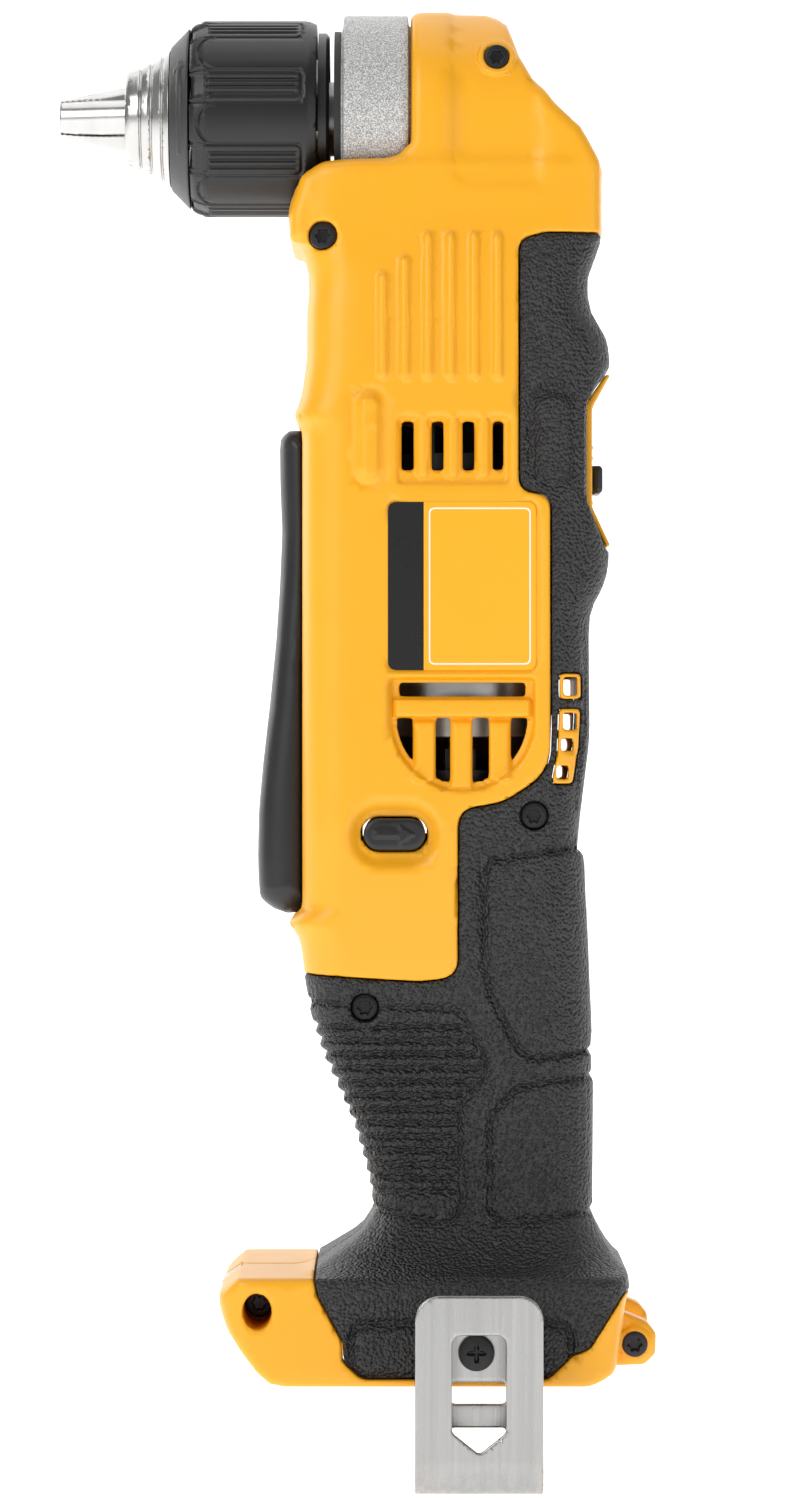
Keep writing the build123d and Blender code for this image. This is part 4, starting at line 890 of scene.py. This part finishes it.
# ---- chuck ---------------------------------------------------------------------------------------
@dataclass
class Chuck:
    """Sleeve, cap, nose and jaws."""
    sleeve_back: float = -28.7
    sleeve_radius: float = 19.8
    pads: int = 8
    pad_roll: float = radians(-8.6)
    pad_half: float = 4.3
    rib_gap: float = 1.55
    nose: tuple = ((-67.3, 5.2), (-67.3, 9.0), (-66.6, 9.6), (-64.5, 10.3), (-64.4, 9.9), (-64.1, 9.9),
                   (-64.0, 10.5), (-62.3, 11.3), (-62.2, 10.9), (-61.9, 10.9), (-61.8, 11.5),
                   (-60.1, 12.7), (-60.0, 12.3), (-59.7, 12.3), (-59.6, 12.9), (-58.4, 13.9),
                   (-58.3, 13.55), (-41.6, 13.55), (-41.6, 15.0), (-30.0, 15.0), (-30.0, 12.0),
                   (-26.6, 12.0), (-26.6, 5.25))
    jaw_tip: float = -80.8
    jaw_tilt: float = radians(14)
    jaw_roll: float = radians(60)
    jaw_radius: float = 3.5
    jaw_room: float = 0.28
    jaw_length: float = 30.0

    @staticmethod
    def _polar(b: Block) -> tuple[Array, Array]:
        """Distance from the spindle axis, and angle from the side that faces -Y, upwards."""
        return np.hypot(b.y, b.z - SPINDLE_Z), np.arctan2(b.z - SPINDLE_Z, -b.y)

    def sleeve(self) -> None:
        """Sleeve with smooth pads between groups of ribs."""
        r = self.sleeve_radius
        b = Block((-54.8, -20.4, SPINDLE_Z - 20.4), (-28.1, 20.4, SPINDLE_Z + 20.4), 0.22)
        radial, turn = self._polar(b)
        section = rounded([(-54.1, 13.7), (-54.1, 18.3), (-53.3, 19.0), (-51.2, r), (-30.6, r),
                           (self.sleeve_back, 19.0), (self.sleeve_back, 18.0), (-52.0, 18.0),
                           (-52.0, 13.7)], [0.1, 0.4, 0.5, 0.6, 0.9, 0.4, 0.2, 0.2, 0.1])
        body = polygon(b.x, radial, section)
        pitch = 2 * pi / self.pads
        away = (turn - self.pad_roll + pitch / 2) % pitch - pitch / 2
        across = np.abs(away) * r
        between = np.abs(np.abs(away) - pitch / 2) * r
        pad = rectangle(b.x, across, (-52.3, -self.pad_half), (-20.0, self.pad_half), 4.0)
        group_half = pitch / 2 * r - self.pad_half
        group = rectangle(b.x, between, (-60.0, -group_half), (-31.6, group_half), 1.5)
        far = 9.0
        edge = np.where(b.x < -31.0, np.abs(pad), far)
        edge = np.minimum(edge, np.where(pad > -0.2, np.abs(group), far))
        edge = np.where((b.x > -31.9) & (np.abs(group) > 0.6), far, edge)
        height = -0.34 * ramp(edge, 0.42, 0.08)
        bed = np.maximum(group, -pad) + 0.9
        height = height - 0.42 * ramp(bed, 0.2, -0.2)
        for k in (0.5, 1.5):
            rib = np.hypot(between - k * self.rib_gap, np.maximum(np.abs(b.x + 41.2) - 8.8, 0))
            height = height + 0.62 * ramp(rib, 0.62, 0.22)
        body = meet(body - height, radial - r, 0.1)
        place(b.mesh("chuck_sleeve_shell", body), Shade.SLEEVE, "sleeve", "chuck_black", "chuck_sleeve")

    def cap(self) -> None:
        """Cone in front of the sleeve, with a raised arrow."""
        b = Block((-58.6, -19.0, SPINDLE_Z - 19.0), (-53.9, 19.0, SPINDLE_Z + 19.0), 0.18)
        radial, turn = self._polar(b)
        section = rounded([(-58.2, 13.65), (-58.2, 14.4), (-54.3, 18.4), (-54.3, 13.65)],
                          [0.1, 0.35, 0.3, 0.1])
        body = polygon(b.x, radial, section)
        along = (b.x + 58.2) * 0.70 + (radial - 14.4) * 0.716
        arc = turn * 16.4
        head = polygon(arc, along, [(11.4, 2.8), (8.6, 4.3), (8.6, 1.3)])
        shaft = rectangle(arc, along, (-9.0, 2.25), (8.8, 3.35), 0.2)
        body = body - 0.28 * ramp(np.minimum(head, shaft), 0.12, -0.25)
        place(b.mesh("chuck_cap", body), Shade.CAP, "sleeve", "chuck_black", "chuck_front_cap")

    def _jaw_axis(self, b: Block, index: int) -> tuple[Array, Array, Array, Array]:
        """Coordinates in a jaw's own directions.

        Args:
            b: the block.
            index: 0, 1 or 2.

        Returns:
            The distance along the jaw's axis, the distance from it, the distance out from the
            spindle's axis, and the distance sideways.
        """
        turn = self.jaw_roll + index * 2 * pi / 3
        out = b.y * cos(turn) + (b.z - SPINDLE_Z) * sin(turn)
        side = -b.y * sin(turn) + (b.z - SPINDLE_Z) * cos(turn)
        along = (b.x - self.jaw_tip) * cos(self.jaw_tilt) + (out - 0.3) * sin(self.jaw_tilt)
        over = -(b.x - self.jaw_tip) * sin(self.jaw_tilt) + (out - 0.3) * cos(self.jaw_tilt)
        return along, np.hypot(over, side), out, side

    def body(self) -> None:
        """Turned nose with its bands, and the jaws' three bores."""
        b = Block((-67.8, -15.6, SPINDLE_Z - 15.6), (-26.1, 15.6, SPINDLE_Z + 15.6), 0.17)
        body = polygon(b.x, self._polar(b)[0], list(self.nose))
        for index in range(3):
            off = self._jaw_axis(b, index)[1]
            body = cut(body, off - self.jaw_radius - self.jaw_room, 0.12)
        place(b.mesh("chuck_nose", body), Shade.TURNED, "spindle", "chuck_steel", "chuck_body")

    def jaws(self) -> None:
        """Three jaws, each a rod with gripping faces at 120 degrees."""
        for index in range(3):
            turn = self.jaw_roll + index * 2 * pi / 3
            back = self.jaw_tip + self.jaw_length * cos(self.jaw_tilt) + 1
            reach = 0.3 + self.jaw_length * sin(self.jaw_tilt)
            y_end, z_end = reach * cos(turn), reach * sin(turn)
            room = self.jaw_radius + 0.4
            b = Block((self.jaw_tip - 0.4, min(0, y_end) - room, SPINDLE_Z + min(0, z_end) - room),
                      (back, max(0, y_end) + room, SPINDLE_Z + max(0, z_end) + room), 0.16)
            along, off, out, side = self._jaw_axis(b, index)
            rod = meet(off - self.jaw_radius, slab(along, 0, self.jaw_length), 0.3)
            wedge = 0.22 + np.abs(side) * 0.5 - out * 0.866
            teeth = 0.10 * ramp(np.abs((b.x - self.jaw_tip) % 1.2 - 0.6), 0.5, 0.2)
            jaw = meet(rod, wedge + teeth * ramp(out, 3.0, 2.0), 0.14)
            jaw = meet(jaw, self.jaw_tip + 0.05 - b.x, 0.25)
            place(b.mesh(f"jaw_{index + 1}_ground", jaw), Shade.TURNED, f"jaw_{index + 1}",
                  "chuck_steel", f"jaw_{index + 1}")

    def build(self) -> None:
        """Makes the visible pieces of the chuck."""
        self.sleeve()
        self.cap()
        self.body()
        self.jaws()


@dataclass
class GearCase:
    """Cast case of the bevel gears, whose collar shows behind the chuck."""
    collar: tuple = ((-23.9, 0), (-23.9, 17.7), (-23.4, 17.7), (-23.4, 20.8), (-10.3, 20.8), (-10.3, 18.5),
                     (2.0, 18.5), (10.0, 8.0), (11.0, 8.0), (11.0, 0))

    def build(self) -> None:
        """Makes the case with its bores."""
        b = Block((-24.4, -21.3, 195.5), (19.0, 21.3, 274.2), 0.34)
        radial = np.hypot(b.y, b.z - SPINDLE_Z)
        upright = np.hypot(b.x, b.y)
        body = polygon(b.x, radial, rounded(list(self.collar), [0, 0.2, 0.2, 0.7, 0.5, 0.5, 1, 1, 0.5, 0]))
        body = join(body, np.maximum(upright - 18.5, slab(b.z, 196.0, 248.0)), 0.6)
        lug = np.hypot(b.x - 7.25, b.z - 263.2)
        body = np.minimum(body, np.maximum(lug - 2.2, np.abs(b.y) - 13.5))
        hollow = polygon(b.x, radial, [(-14.5, -1), (-14.5, 16.5), (1.5, 16.5), (7.6, 8.6), (7.6, -1)])
        web = np.maximum(np.maximum(upright - 12.6, 6.95 - upright), slab(b.z, 221.0, 229.0))
        body = cut(body, hollow)
        body = cut(body, np.maximum(upright - 16.55, b.z - 219.5))
        body = cut(body, np.maximum(upright - 12.0, slab(b.z, 210.0, SPINDLE_Z)))
        body = np.minimum(body, web)
        body = cut(body, np.maximum(radial - 9.0, b.x + 21.0))
        body = cut(body, np.maximum(radial - 16.05, slab(b.x, -22.0, -13.0)))
        body = np.minimum(body, np.maximum(np.maximum(radial - 8.6, 7.0 - radial), slab(b.x, 2.9, 9.0)))
        body = cut(body, np.maximum(radial - 7.0, slab(b.x, 1.0, 9.0)))
        body = cut(body, np.maximum(lug - 1.5, b.y + 9.5))
        place(b.mesh("gear_case_casting", body), Shade.CAST, "root", "cast_aluminium", "gear_case")


# ---- controls ------------------------------------------------------------------------------------
@dataclass
class Trigger:
    """Long paddle on the front of the body."""
    half: float = 13.0
    back: float = -28.5
    front: tuple = ((-34.4, 189.6), (-36.2, 187.6), (-36.1, 179.0), (-35.7, 169.3), (-36.1, 159.5),
                    (-36.9, 147.4), (-38.1, 135.2), (-39.5, 123.1), (-40.4, 113.4), (-40.6, 103.7),
                    (-40.3, 95.6), (-36.0, 92.4), (-33.0, 92.6))

    def build(self) -> None:
        """Makes the paddle."""
        b = Block((-41.2, -13.5, 91.8), (-23.0, 13.5, 190.2), 0.34)
        outline = [*self.front, (self.back, 93.5), (self.back, 189.6)]
        radii = [2.5, 2.0] + [8.0] * 8 + [3.5, 2.5, 1.0, 0.8, 0.8]
        body = meet(polygon(b.x, b.z, rounded(outline, radii)), np.abs(b.y) - self.half, 5.6)
        back = np.maximum(polygon(b.x, b.z, outline), np.abs(b.y) - self.half)
        back = np.maximum(back, -31.4 - b.x)
        body = np.minimum(body, back)
        step = np.abs(b.x + 31.2)
        body = body + 0.3 * ramp(step, 0.35, 0.1)
        hub = np.hypot(b.x + 27.0, b.z - 184.0)
        body = np.minimum(body, np.maximum(hub - 3.4, slab(np.abs(b.y), 8.0, self.half)))
        notch = np.maximum(np.abs(b.y) - 8, slab(b.z, 176, 196))
        body = cut(body, np.maximum(slab(b.x, -34.0, -10.0), notch))
        room = np.maximum(slab(b.x, -33.5, -10.0), np.maximum(np.abs(b.y) - 10.5, slab(b.z, 108, 172)))
        body = cut(cut(body, room, 0.4), hub - 1.55)
        place(b.mesh("trigger_paddle", body), Shade.BLACK, "trigger", "black_plastic", "paddle_trigger")


@dataclass
class Controls:
    """Direction button, and speed selector with its bezel."""
    button: Point = (-13.1, 108.6)
    selector: float = 179.8
    bezel: tuple = ((30.1, 200.3), (26.4, 193.6), (26.4, 173.9), (30.1, 166.0), (29.0, 166.1), (24.7, 175.0),
                    (24.7, 194.0), (29.0, 200.2))
    dots: tuple = (186.0, 183.9, 174.9, 172.9)

    def direction(self) -> None:
        """Button that passes right through, with an arrow on each end."""
        x, z = self.button
        b = Block((x - 6.7, -26.0, z - 3.7), (x + 14.6, 26.0, z + 3.7), 0.2)
        body = meet(rectangle(b.x, b.z, (x - 6.15, z - 3.15), (x + 6.15, z + 3.15), 3.14),
                    np.abs(b.y) - 25.3, 0.7)
        arrow = polygon(b.x, b.z, [(x - 4.0, z - 0.8), (x + 0.9, z - 0.8), (x + 0.9, z - 1.9),
                                   (x + 4.2, z), (x + 0.9, z + 1.9), (x + 0.9, z + 0.8),
                                   (x - 4.0, z + 0.8)])
        body = body - 0.3 * ramp(arrow, 0.1, -0.2) * ramp(np.abs(b.y), 24.0, 25.0)
        arm = np.maximum(rectangle(b.x, b.z, (-8.0, 105.6), (1.0, 108.4), 0.4), np.abs(b.y) - 2)
        place(b.mesh("direction_slider", np.minimum(body, arm)), Shade.BLACK, "direction",
              "black_plastic", "direction_button")

    def speed(self) -> None:
        """Bezel in the spine, and its button."""
        b = Block((24.2, -15.5, 165.4), (30.8, 15.5, 201.0), 0.2)
        frame = meet(polygon(b.x, b.z, rounded(list(self.bezel), [0.5, 2, 2, 0.5, 0.5, 2, 2, 0.5])),
                     np.abs(b.y) - 15.0, 0.5)
        window = rectangle(b.y, b.z, (-3.4, self.selector - 6.2), (3.4, self.selector + 6.2), 0.8)
        frame = cut(frame, window, 0.25)
        for z in self.dots:
            frame = join(frame, np.sqrt((b.x - 26.1) ** 2 + (b.y - 8.5) ** 2 + (b.z - z) ** 2) - 0.75, 0.1)
            frame = join(frame, np.sqrt((b.x - 26.1) ** 2 + (b.y + 8.5) ** 2 + (b.z - z) ** 2) - 0.75, 0.1)
        place(b.mesh("selector_frame", frame), Shade.HOUSING, "root", "yellow_housing", "selector_bezel")
        low, high = node_box("selector_button")
        b = Block(tuple(low - 0.4), tuple(high + 0.4), 0.16)
        z = self.selector
        cap = meet(rectangle(b.x, b.z, (26.75, z - 2.85), (28.85, z + 2.85), 0.9), np.abs(b.y) - 6, 0.9)
        grooves = 0.25 * ramp(np.abs((b.z - z + 0.65) % 1.3 - 0.65), 0.4, 0.15) * ramp(b.x, 28.2, 28.6)
        stem = np.maximum(rectangle(b.x, b.z, (24.0, z - 2.9), (27.5, z + 2.9), 0.3), np.abs(b.y) - 3)
        body = np.minimum(cap + grooves * ramp(np.abs(b.y), 5.0, 4.4), stem)
        place(b.mesh("selector_knob", body), Shade.BLACK, "selector", "black_plastic", "selector_button")

    def build(self) -> None:
        """Makes the controls."""
        self.direction()
        self.speed()


# ---- fittings ------------------------------------------------------------------------------------
@dataclass
class Fittings:
    """Screws, belt hook and side labels."""
    screws: tuple = (("head_screw", 7.25, 263.2, 2.45, -19.6, -9.5),
                     ("front_screw", -27.3, 227.5, 2.75, -21.0, 12.0),
                     ("back_screw", 14.6, 112.3, 2.75, -23.0, 12.0),
                     ("grip_screw", -19.0, 74.1, 2.75, -19.0, 12.0),
                     ("toe_screw", -40.1, 14.9, 2.75, -16.0, 12.0),
                     ("left_ear_screw", 34.6, 7.4, 2.55, -22.4, -15.5),
                     ("right_ear_screw", 34.6, 7.4, 2.55, 22.4, 15.5))
    hook_middle: float = 3.4
    hook_half: float = 12.5
    hook_out: float = -45.0
    hook_in: float = -33.0
    steel: float = 1.5

    @staticmethod
    def screw(name: str, spot: Point, radius: float, seat: float, end: float, shank: float,
              head: float = 2.0, points: int = 6) -> bpy.types.Mesh:
        """A screw along Y with a socket of six lobes or a cross.

        Args:
            name: name of the mesh.
            spot: X and Z of its axis.
            radius: radius of the head.
            seat: Y of the head's top.
            end: Y of the shank's end.
            shank: radius of the shank.
            head: height of the head.
            points: 6 for lobes, 4 for a cross.

        Returns:
            The screw's mesh.
        """
        x, z = spot
        way = 1 if end > seat else -1
        b = Block((x - radius - 0.3, min(seat, end) - 0.3, z - radius - 0.3),
                  (x + radius + 0.3, max(seat, end) + 0.3, z + radius + 0.3), 0.13)
        off, depth = np.hypot(b.x - x, b.z - z), (b.y - seat) * way
        turn = np.arctan2(b.z - z, b.x - x)
        top = 0.06 * off ** 2 / radius - depth
        body = meet(off - radius, np.maximum(top, depth - head), 0.25)
        thread = 0.12 * np.cos(2 * pi * (depth - head) / 0.8 + turn)
        body = np.minimum(body, np.maximum(off - shank + 0.12 - thread * ramp(depth, head, head + 0.6),
                                           slab(depth, head - 0.3, abs(end - seat))))
        middle, swing = (0.50, 0.075) if points == 6 else (0.33, 0.20)
        recess = off - radius * (middle + swing * np.cos(points * turn))
        return b.mesh(name, cut(body, meet(recess, depth - 1.35), 0.08), 0.05)

    def hook(self) -> None:
        """Bent strip with a window, and its screw."""
        m, half, t = self.hook_middle, self.hook_half, self.steel
        bend = (self.hook_in - self.hook_out) / 2
        middle, low = (self.hook_in + self.hook_out) / 2, -20.0 + bend
        b = Block((m - half - 0.4, self.hook_out - 0.4, -20.4),
                  (m + half + 0.4, self.hook_in + 0.4, 19.8), 0.21)
        radial = np.hypot(b.y - middle, b.z - low)
        strip = np.where(b.z < low, np.abs(radial - bend + t / 2) - t / 2,
                         np.abs(np.abs(b.y - middle) - bend + t / 2) - t / 2)
        plan_out = rectangle(b.x, b.z, (m - half, -40.0), (m + half, 19.3), 5.0)
        plan_in = rectangle(b.x, b.z, (m - half, -40.0), (m + half, 14.0), 5.0)
        window = polygon(b.x, b.z, rounded([(m - 5.3, 11.5), (m + 5.3, 11.5), (m + 5.3, -7.4), (m, -11.6),
                                            (m - 5.3, -7.4)], [2, 2, 1.5, 1.0, 1.5]))
        gap = rectangle(b.x, b.z, (m - 5.3, -3.0), (m + 5.3, 1.2), 0.6)
        slot = rectangle(b.x, b.z, (m - 5.3, -13.0), (m + 5.3, -7.7), 0.6)
        hole = np.hypot(b.x - 3.0, b.z - 7.1) - 2.0
        plan = np.where(b.y < middle, np.maximum(plan_out, -window),
                        np.maximum(np.maximum(plan_in, -gap), -np.minimum(slot, hole)))
        plan = np.where(b.z < -13.6, np.abs(b.x - m) - half, plan)
        place(b.mesh("belt_clip", meet(strip, plan, 0.3), 0.1), Shade.BRUSHED, "root", "brushed_steel",
              "belt_hook")
        screw = self.screw("belt_clip_screw", (3.0, 7.1), 3.55, self.hook_in - t - 1.6, -28.0, 2.0, 1.6, 4)
        place(screw, Shade.SCREW, "root", "black_oxide_screw", "belt_hook_screw")

    @staticmethod
    def plate(name: str, outline: list[Point], near: float, far: float,
              hole: list[Point] | None = None) -> bpy.types.Mesh:
        """Thin plate across Y.

        Args:
            name: name of the mesh.
            outline: X and Z of its corners.
            near: Y of one face.
            far: Y of the other face.
            hole: corners of a hole in it, as many as the outline has.

        Returns:
            The plate's mesh.
        """
        made = bmesh.new()
        layers = []
        for y in (near, far):
            rows = [[made.verts.new((x * MM, y * MM, z * MM)) for x, z in points]
                    for points in ([outline, hole] if hole else [outline])]
            layers.append(rows)
        for front, back in zip(*layers):
            for i in range(len(front)):
                k = (i + 1) % len(front)
                made.faces.new((front[i], front[k], back[k], back[i]))
        for rows in layers:
            if hole:
                for i in range(len(outline)):
                    k = (i + 1) % len(outline)
                    made.faces.new((rows[0][i], rows[0][k], rows[1][k], rows[1][i]))
            else:
                made.faces.new(rows[0])
        bmesh.ops.recalc_face_normals(made, faces=made.faces)
        mesh = bpy.data.meshes.new(name)
        made.to_mesh(mesh)
        made.free()
        return mesh

    def labels(self) -> None:
        """Side labels: a black band, a yellow field and a pale line, with no words."""
        for side, sign in (("left", -1), ("right", 1)):
            band = rounded([(-14.4, 141.1), (-7.3, 141.1), (-7.3, 174.4), (-14.4, 174.4)], [1.8, 0, 0, 1.8])
            page = rounded([(-7.3, 141.1), (14.9, 141.1), (14.9, 174.4), (-7.3, 174.4)], [0, 1.8, 1.8, 0])
            line_out = rounded([(-6.3, 142.2), (13.9, 142.2), (13.9, 173.3), (-6.3, 173.3)], 1.2)
            line_in = rounded([(-6.0, 142.5), (13.6, 142.5), (13.6, 173.0), (-6.0, 173.0)], 1.0)
            place(self.plate(f"{side}_label_band", band, 24.42 * sign, 24.82 * sign), Shade.FILM_BLACK,
                  "root", "label_film", "side_labels")
            place(self.plate(f"{side}_label_page", page, 24.42 * sign, 24.82 * sign), Shade.FILM,
                  "root", "label_film")
            place(self.plate(f"{side}_label_line", line_out, 24.80 * sign, 24.86 * sign, line_in),
                  Shade.FILM_LINE, "root", "label_film")

    def build(self) -> None:
        """Makes the screws, the hook and the labels."""
        for name, x, z, radius, seat, end in self.screws:
            place(self.screw(name, (x, z), radius, seat, end, 1.5), Shade.SCREW, "root",
                  "black_oxide_screw", "housing_screws")
        self.hook()
        self.labels()


@dataclass
class Insides:
    """Finishes of the CAD pieces that stay as they are."""
    table: tuple = (
        (Shade.RUBBER, ("front_seal_ring",)), (Shade.SLEEVE, ("chuck_rear_ring",)),
        (Shade.LENS, ("led_lens",)),
        (Shade.STEEL, ("output_spindle", "armature_shaft", "trigger_pivot_pin", "trigger_spring",
                       "front_bearing_outer_race", "front_bearing_inner_race", "front_bearing_balls")),
        (Shade.GEARS, ("ring_gear", "bevel_gear", "bevel_pinion", "planet_carrier", "planet_1", "planet_2",
                       "planet_3", "jaw_nut", "armature_core")),
        (Shade.BRONZE, ("rear_spindle_bush", "carrier_bush", "motor_bushes")),
        (Shade.ZINC, ("motor_can",)), (Shade.FERRITE, ("motor_magnets", "carbon_brushes")),
        (Shade.BLACK, ("brush_end_bell", "switch_body", "control_module", "terminal_block",
                       "switch_plunger", "shift_fork", "cooling_fan")),
        (Shade.COPPER, ("internal_wires", "contact_blades", "armature_windings", "commutator")),
        (Shade.BRASS, ("hook_inserts",)), (Shade.SCREW, ("chuck_screw",)))

    def build(self) -> None:
        """Paints them."""
        for shade, nodes in self.table:
            for node in nodes:
                shade.paint(frame["nodes"][node])


# ---- light and camera ----------------------------------------------------------------------------
@dataclass
class Studio:
    """Pale sweep, soft lights and the camera."""
    distance: float = 1.1
    aim: tuple = (-0.0121, 0.0, 0.1253)
    frame_height: float = 0.30375
    floor: float = -0.0215

    def build(self) -> None:
        """Makes the floor, the lights and the camera."""
        mesh = bpy.data.meshes.new("studio_sweep")
        made = bmesh.new()
        rows = [(-2.5, 0.0)] + [(0.9 + 0.9 * sin(a), 0.9 - 0.9 * cos(a)) for a in np.linspace(0, pi / 2, 24)]
        rows.append((1.8, 3.0))
        lines = [[made.verts.new((x, y, self.floor + z)) for x in (-4, 4)] for y, z in rows]
        for a, c in zip(lines, lines[1:]):
            made.faces.new((a[0], a[1], c[1], c[0]))
        made.to_mesh(mesh)
        made.free()
        mesh.shade_smooth()
        sweep = bpy.data.objects.new("studio_sweep", mesh)
        bpy.context.scene.collection.objects.link(sweep)
        paper = bpy.data.materials.new("studio_paper")
        paper.use_nodes = True
        shader = paper.node_tree.nodes["Principled BSDF"]
        shader.inputs["Base Color"].default_value = (0.93, 0.93, 0.93, 1)
        shader.inputs["Roughness"].default_value = 0.9
        shader.inputs["Emission Color"].default_value = (1, 1, 1, 1)
        shader.inputs["Emission Strength"].default_value = 0.8
        sweep.data.materials.append(paper)
        bpy.context.scene.view_settings.view_transform = "Standard"
        world = bpy.data.worlds.new("studio_air")
        bpy.context.scene.world = world
        world.use_nodes = True
        world.node_tree.nodes["Background"].inputs[0].default_value = (1, 1, 1, 1)
        world.node_tree.nodes["Background"].inputs[1].default_value = 0.26
        for name, spot, size, power in (("key", (-0.75, -0.9, 0.75), 0.8, 7.0),
                                        ("fill", (0.9, -0.9, 0.25), 1.0, 2.0),
                                        ("top", (0.0, 0.1, 1.1), 0.9, 3.5),
                                        ("rim", (-0.8, 0.6, 0.5), 0.6, 2.0)):
            data = bpy.data.lights.new(name, "AREA")
            data.size = size
            data.energy = power
            lamp = bpy.data.objects.new(name, data)
            lamp.location = spot
            lamp.rotation_euler = (Vector(self.aim) - Vector(spot)).to_track_quat("-Z", "Y").to_euler()
            bpy.context.scene.collection.objects.link(lamp)
        data = bpy.data.cameras.new("camera")
        data.sensor_fit = "VERTICAL"
        data.sensor_height = 24.0
        data.lens = data.sensor_height * self.distance / self.frame_height
        data.clip_start = 0.01
        camera = bpy.data.objects.new("camera", data)
        camera.location = Vector(self.aim) + Vector((0, -self.distance, 0))
        camera.rotation_euler = (pi / 2, 0, 0)
        bpy.context.scene.collection.objects.link(camera)
        bpy.context.scene.camera = camera


def main() -> None:
    """Builds the drill piece by piece."""
    logging.basicConfig(level=logging.INFO, format="%(name)s %(message)s")
    Studio().build()
    Housing().build()
    GearCase().build()
    Chuck().build()
    Trigger().build()
    Controls().build()
    Fittings().build()
    Insides().build()


if __name__ == "__main__":
    main()
